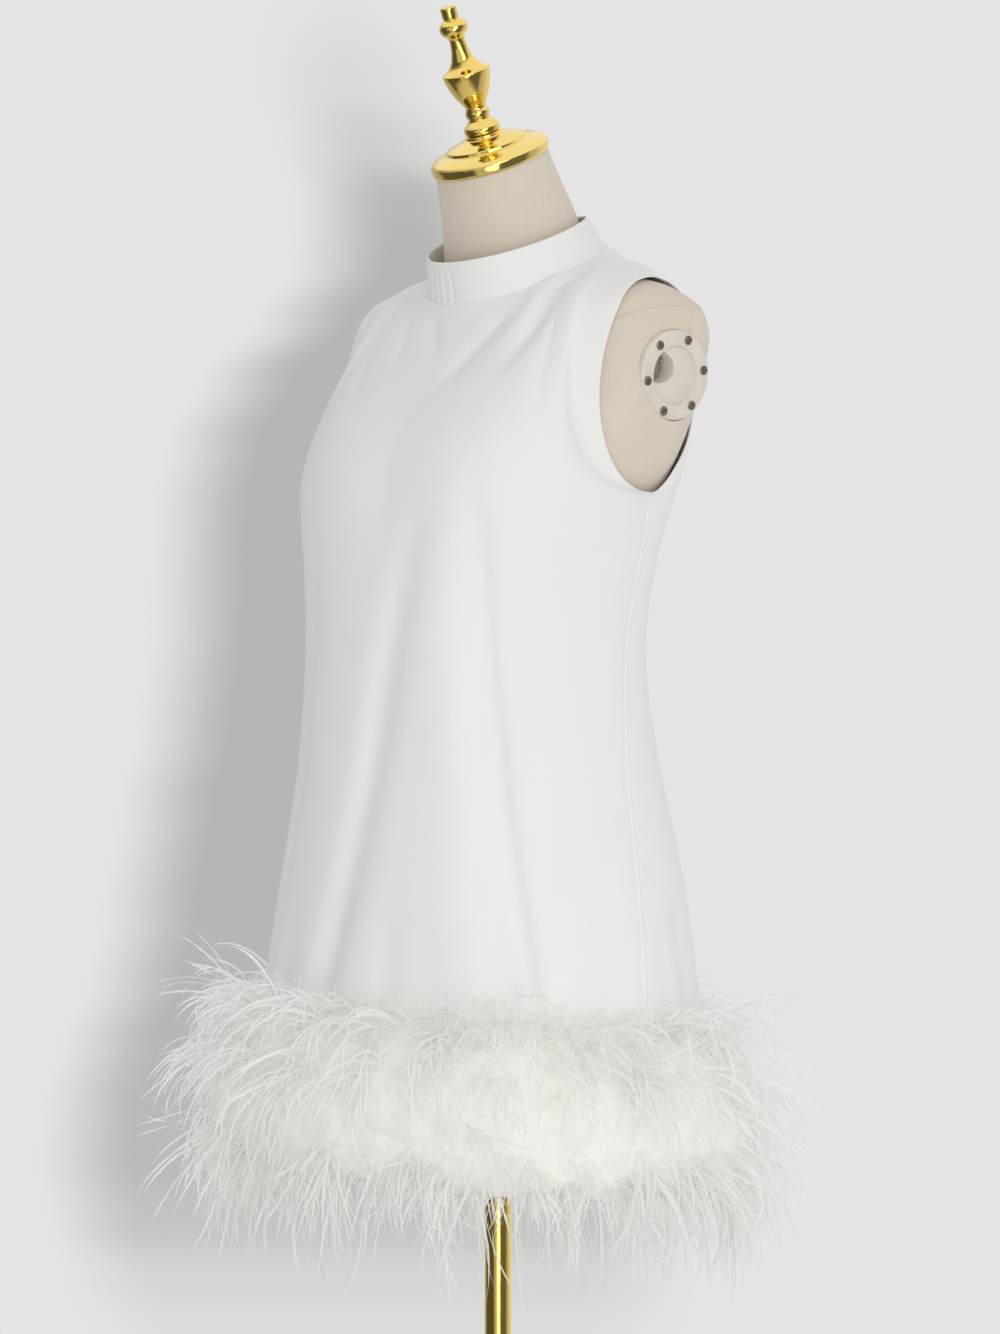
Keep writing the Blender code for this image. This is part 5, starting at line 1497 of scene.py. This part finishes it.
# The room: how bright it is at directions round the camera's own, in degrees from it
# towards the view's right. Straight behind the piece is the lit backdrop.
ROOM = [(-180, 0.85), (-120, 0.74), (-80, 0.64), (-50, 0.40), (-25, 0.63), (0, 0.78),
        (20, 0.34), (38, 1.08), (55, 1.04), (75, 0.50), (100, 0.68), (140, 0.88), (180, 0.85)]
ROOM_TINT = (0.5, 0.5, 0.49)
ROOM_STRENGTH = 1.9
CEILING_GAIN = 0.02       # how much brighter the room is straight up than at eye level

# What the polished brass mirrors, by the same directions: dark corners beside the camera,
# and pale walls further round. Overhead it is one pale ceiling.
MIRRORED = [(-180, 0.60), (-130, 0.42), (-112, 0.10), (-42, 0.09), (-26, 0.50), (12, 0.46),
            (28, 0.13), (70, 0.14), (88, 0.52), (125, 0.80), (180, 0.80)]
MIRRORED_TINT = (1.0, 1.0, 0.97)
MIRRORED_ABOVE = 0.95
MIRRORED_CEILING = (0.30, 0.62)   # from no ceiling to all ceiling, as the sine of the climb

# The shadow on the backdrop, from the top of the view down: where its left and right
# edges lie, as shares of the view's width, and how deep it is.
Shade = namedtuple("Shade", "down left right depth")
BACKDROP_SHADOW = [
    Shade(0.000, 0.300, 0.400, 0.10), Shade(0.060, 0.300, 0.405, 0.27),
    Shade(0.110, 0.325, 0.435, 0.52), Shade(0.150, 0.344, 0.480, 0.95),
    Shade(0.200, 0.342, 0.500, 1.00), Shade(0.240, 0.305, 0.500, 1.00),
    Shade(0.285, 0.250, 0.500, 1.00), Shade(0.330, 0.218, 0.500, 1.00),
    Shade(0.380, 0.204, 0.500, 1.00), Shade(0.470, 0.200, 0.500, 1.00),
    Shade(0.550, 0.188, 0.500, 1.00), Shade(0.600, 0.170, 0.500, 1.00),
    Shade(0.690, 0.152, 0.500, 1.00), Shade(0.740, 0.136, 0.500, 1.00),
    Shade(0.780, 0.112, 0.560, 0.98), Shade(0.825, 0.094, 0.620, 0.95),
    Shade(0.870, 0.088, 0.640, 0.92), Shade(0.915, 0.096, 0.650, 0.74),
    Shade(0.960, 0.110, 0.650, 0.34), Shade(1.000, 0.130, 0.640, 0.18),
]
LEFT_EDGE = (-0.060, 0.054)       # from no shadow to full shadow, across each edge
RIGHT_EDGE = (0.070, -0.070)
STRAIGHT_AHEAD = (0.90, 0.94)     # how straight ahead the shadow sets in, as a cosine
VIEW_WIDTH = 0.3277               # of the camera's view, at a distance of 1
VIEW_HEIGHT = 0.4371
PAPER_LIT = (0.775, 0.775, 0.785)
PAPER_SHADED = (0.468, 0.468, 0.455)

# The soft boxes: how far each stands to the camera's right, towards it and up, the height
# on the pole's line that it looks at, the length of its side, and its power in watts.
SoftBox = namedtuple("SoftBox", "name right toward up aim side power")
SOFT_BOXES = [SoftBox("key", 0.6, 2.6, 1.6, 1.00, 1.6, 12.8),
              SoftBox("low fill", 0.2, 2.4, 0.3, 0.58, 1.2, 6.8),
              SoftBox("left fill", -2.0, 2.3, 1.2, 0.90, 1.8, 4.0)]
SOFT_WHITE = (1.0, 1.0, 0.985)

world = bpy.data.worlds.new("studio")
world.use_nodes = True
bpy.context.scene.world = world
sky = world.node_tree
sky_node = node_adder(sky)


def sky_math(operation, one, other):
    """Work out one number of the world from two others."""
    return sky_node("Math", {0: one, 1: other}, operation=operation).outputs["Value"]


def sky_range(value, ends, **settings):
    """Run from 0 to 1 as a value goes from one end of a range to the other."""
    return sky_node("MapRange", {"Value": value, "From Min": ends[0], "From Max": ends[1]},
                    **settings).outputs["Result"]


def sky_along(axis):
    """How far a direction of the world goes along an axis."""
    return sky_node("VectorMath", {0: direction, 1: tuple(axis)},
                    operation="DOT_PRODUCT").outputs["Value"]


def sky_ramp(place, rows):
    """A smooth ramp of the world, from rows of (place along it, colour)."""
    ramp = sky_node("ValToRGB", {"Fac": place})
    ramp.color_ramp.interpolation = "EASE"
    stops = ramp.color_ramp.elements
    while len(stops) > 1:
        stops.remove(stops[-1])
    for k, (at, colour) in enumerate(rows):
        stop = stops[0] if k == 0 else stops.new(at)
        stop.position = at
        stop.color = (*colour, 1.0)
    return ramp.outputs["Color"]


def round_room(levels, tint):
    """A ramp round the room, from brightnesses at directions in degrees."""
    return sky_ramp(round_place, [((turn + 180) / 360, tuple(level * part for part in tint))
                                  for turn, level in levels])


direction = sky_node("TexCoord").outputs["Generated"]
# Turned so that the camera's direction comes to -X, where the radial gradient begins.
facing = sky_node("Mapping", {"Vector": direction,
                              "Rotation": (0.0, 0.0, math.radians(90.0) - CAMERA_AZIMUTH)})
round_place = sky_node("TexGradient", {"Vector": facing.outputs["Vector"]},
                       gradient_type="RADIAL").outputs["Fac"]
climbing = sky_node("SeparateXYZ", {"Vector": direction}).outputs["Z"]
upwards = sky_node("Math", {0: climbing, 1: CEILING_GAIN, 2: 1.0}, operation="MULTIPLY_ADD")
strength = sky_math("MULTIPLY", upwards.outputs["Value"], ROOM_STRENGTH)
room = sky_node("Background", {"Color": round_room(ROOM, ROOM_TINT), "Strength": strength})

overhead = sky_range(climbing, MIRRORED_CEILING, interpolation_type="SMOOTHSTEP")
mirrored = blend(sky_node, overhead, round_room(MIRRORED, MIRRORED_TINT), (MIRRORED_ABOVE,) * 3)
shine = sky_node("Background", {"Color": mirrored, "Strength": 1.0})

# The backdrop that the camera sees, with the piece's soft shadow fallen on it to the left.
ahead = sky_along(-toward_camera)
view_x = sky_range(sky_math("DIVIDE", sky_along(camera_right), ahead),
                   (-VIEW_WIDTH / 2, VIEW_WIDTH / 2), clamp=False)
view_down = sky_range(sky_math("DIVIDE", climbing, ahead), (VIEW_HEIGHT / 2, -VIEW_HEIGHT / 2))
edges_and_depth = sky_ramp(view_down, [(row.down, (row.left, row.depth, row.right))
                                       for row in BACKDROP_SHADOW])
shadow = sky_node("SeparateColor", {"Color": edges_and_depth}).outputs
from_left = sky_range(sky_math("SUBTRACT", view_x, shadow["Red"]), LEFT_EDGE,
                      interpolation_type="SMOOTHSTEP")
from_right = sky_range(sky_math("SUBTRACT", view_x, shadow["Blue"]), RIGHT_EDGE,
                       interpolation_type="SMOOTHSTEP")
deep = sky_math("MULTIPLY", sky_math("MULTIPLY", from_left, from_right), shadow["Green"])
shaded = sky_math("MULTIPLY", deep, sky_range(ahead, STRAIGHT_AHEAD))
backdrop = sky_node("Background", {"Color": blend(sky_node, shaded, PAPER_LIT, PAPER_SHADED),
                                   "Strength": 1.0})
rays = sky_node("LightPath").outputs
room_mix = sky_node("MixShader", {0: rays["Is Glossy Ray"], 1: room.outputs["Background"],
                                  2: shine.outputs["Background"]})
seen_mix = sky_node("MixShader", {0: rays["Is Camera Ray"], 1: room_mix.outputs["Shader"],
                                  2: backdrop.outputs["Background"]})
sky.links.new(seen_mix.outputs["Shader"], sky.nodes["World Output"].inputs["Surface"])

for box in SOFT_BOXES:
    light = bpy.data.lights.new(box.name, "AREA")
    light.shape = "SQUARE"
    light.size = box.side
    light.energy = box.power
    light.color = SOFT_WHITE
    lamp = add_to_scene(box.name, light)
    lamp.location = (camera_right * box.right + toward_camera * box.toward
                     + Vector((0, 0, box.up)))
    gaze = Vector((0, 0, box.aim)) - lamp.location
    lamp.rotation_euler = gaze.to_track_quat("-Z", "Y").to_euler()

camera = bpy.data.cameras.new("camera")
camera.sensor_fit = "VERTICAL"
camera.sensor_height = CAMERA_SENSOR
camera.lens = CAMERA_SENSOR / 2 / math.tan(CAMERA_VIEW_HEIGHT / 2)
camera.shift_x = VIEW_PIXELS_SHIFT / VIEW_PIXELS_HIGH
camera_object = add_to_scene("camera", camera)
camera_object.location = toward_camera * CAMERA_DISTANCE + Vector((0.0, 0.0, CAMERA_HEIGHT))
camera_object.rotation_euler = (-toward_camera).to_track_quat("-Z", "Y").to_euler()
bpy.context.scene.camera = camera_object
bpy.context.scene.view_settings.view_transform = "Standard"
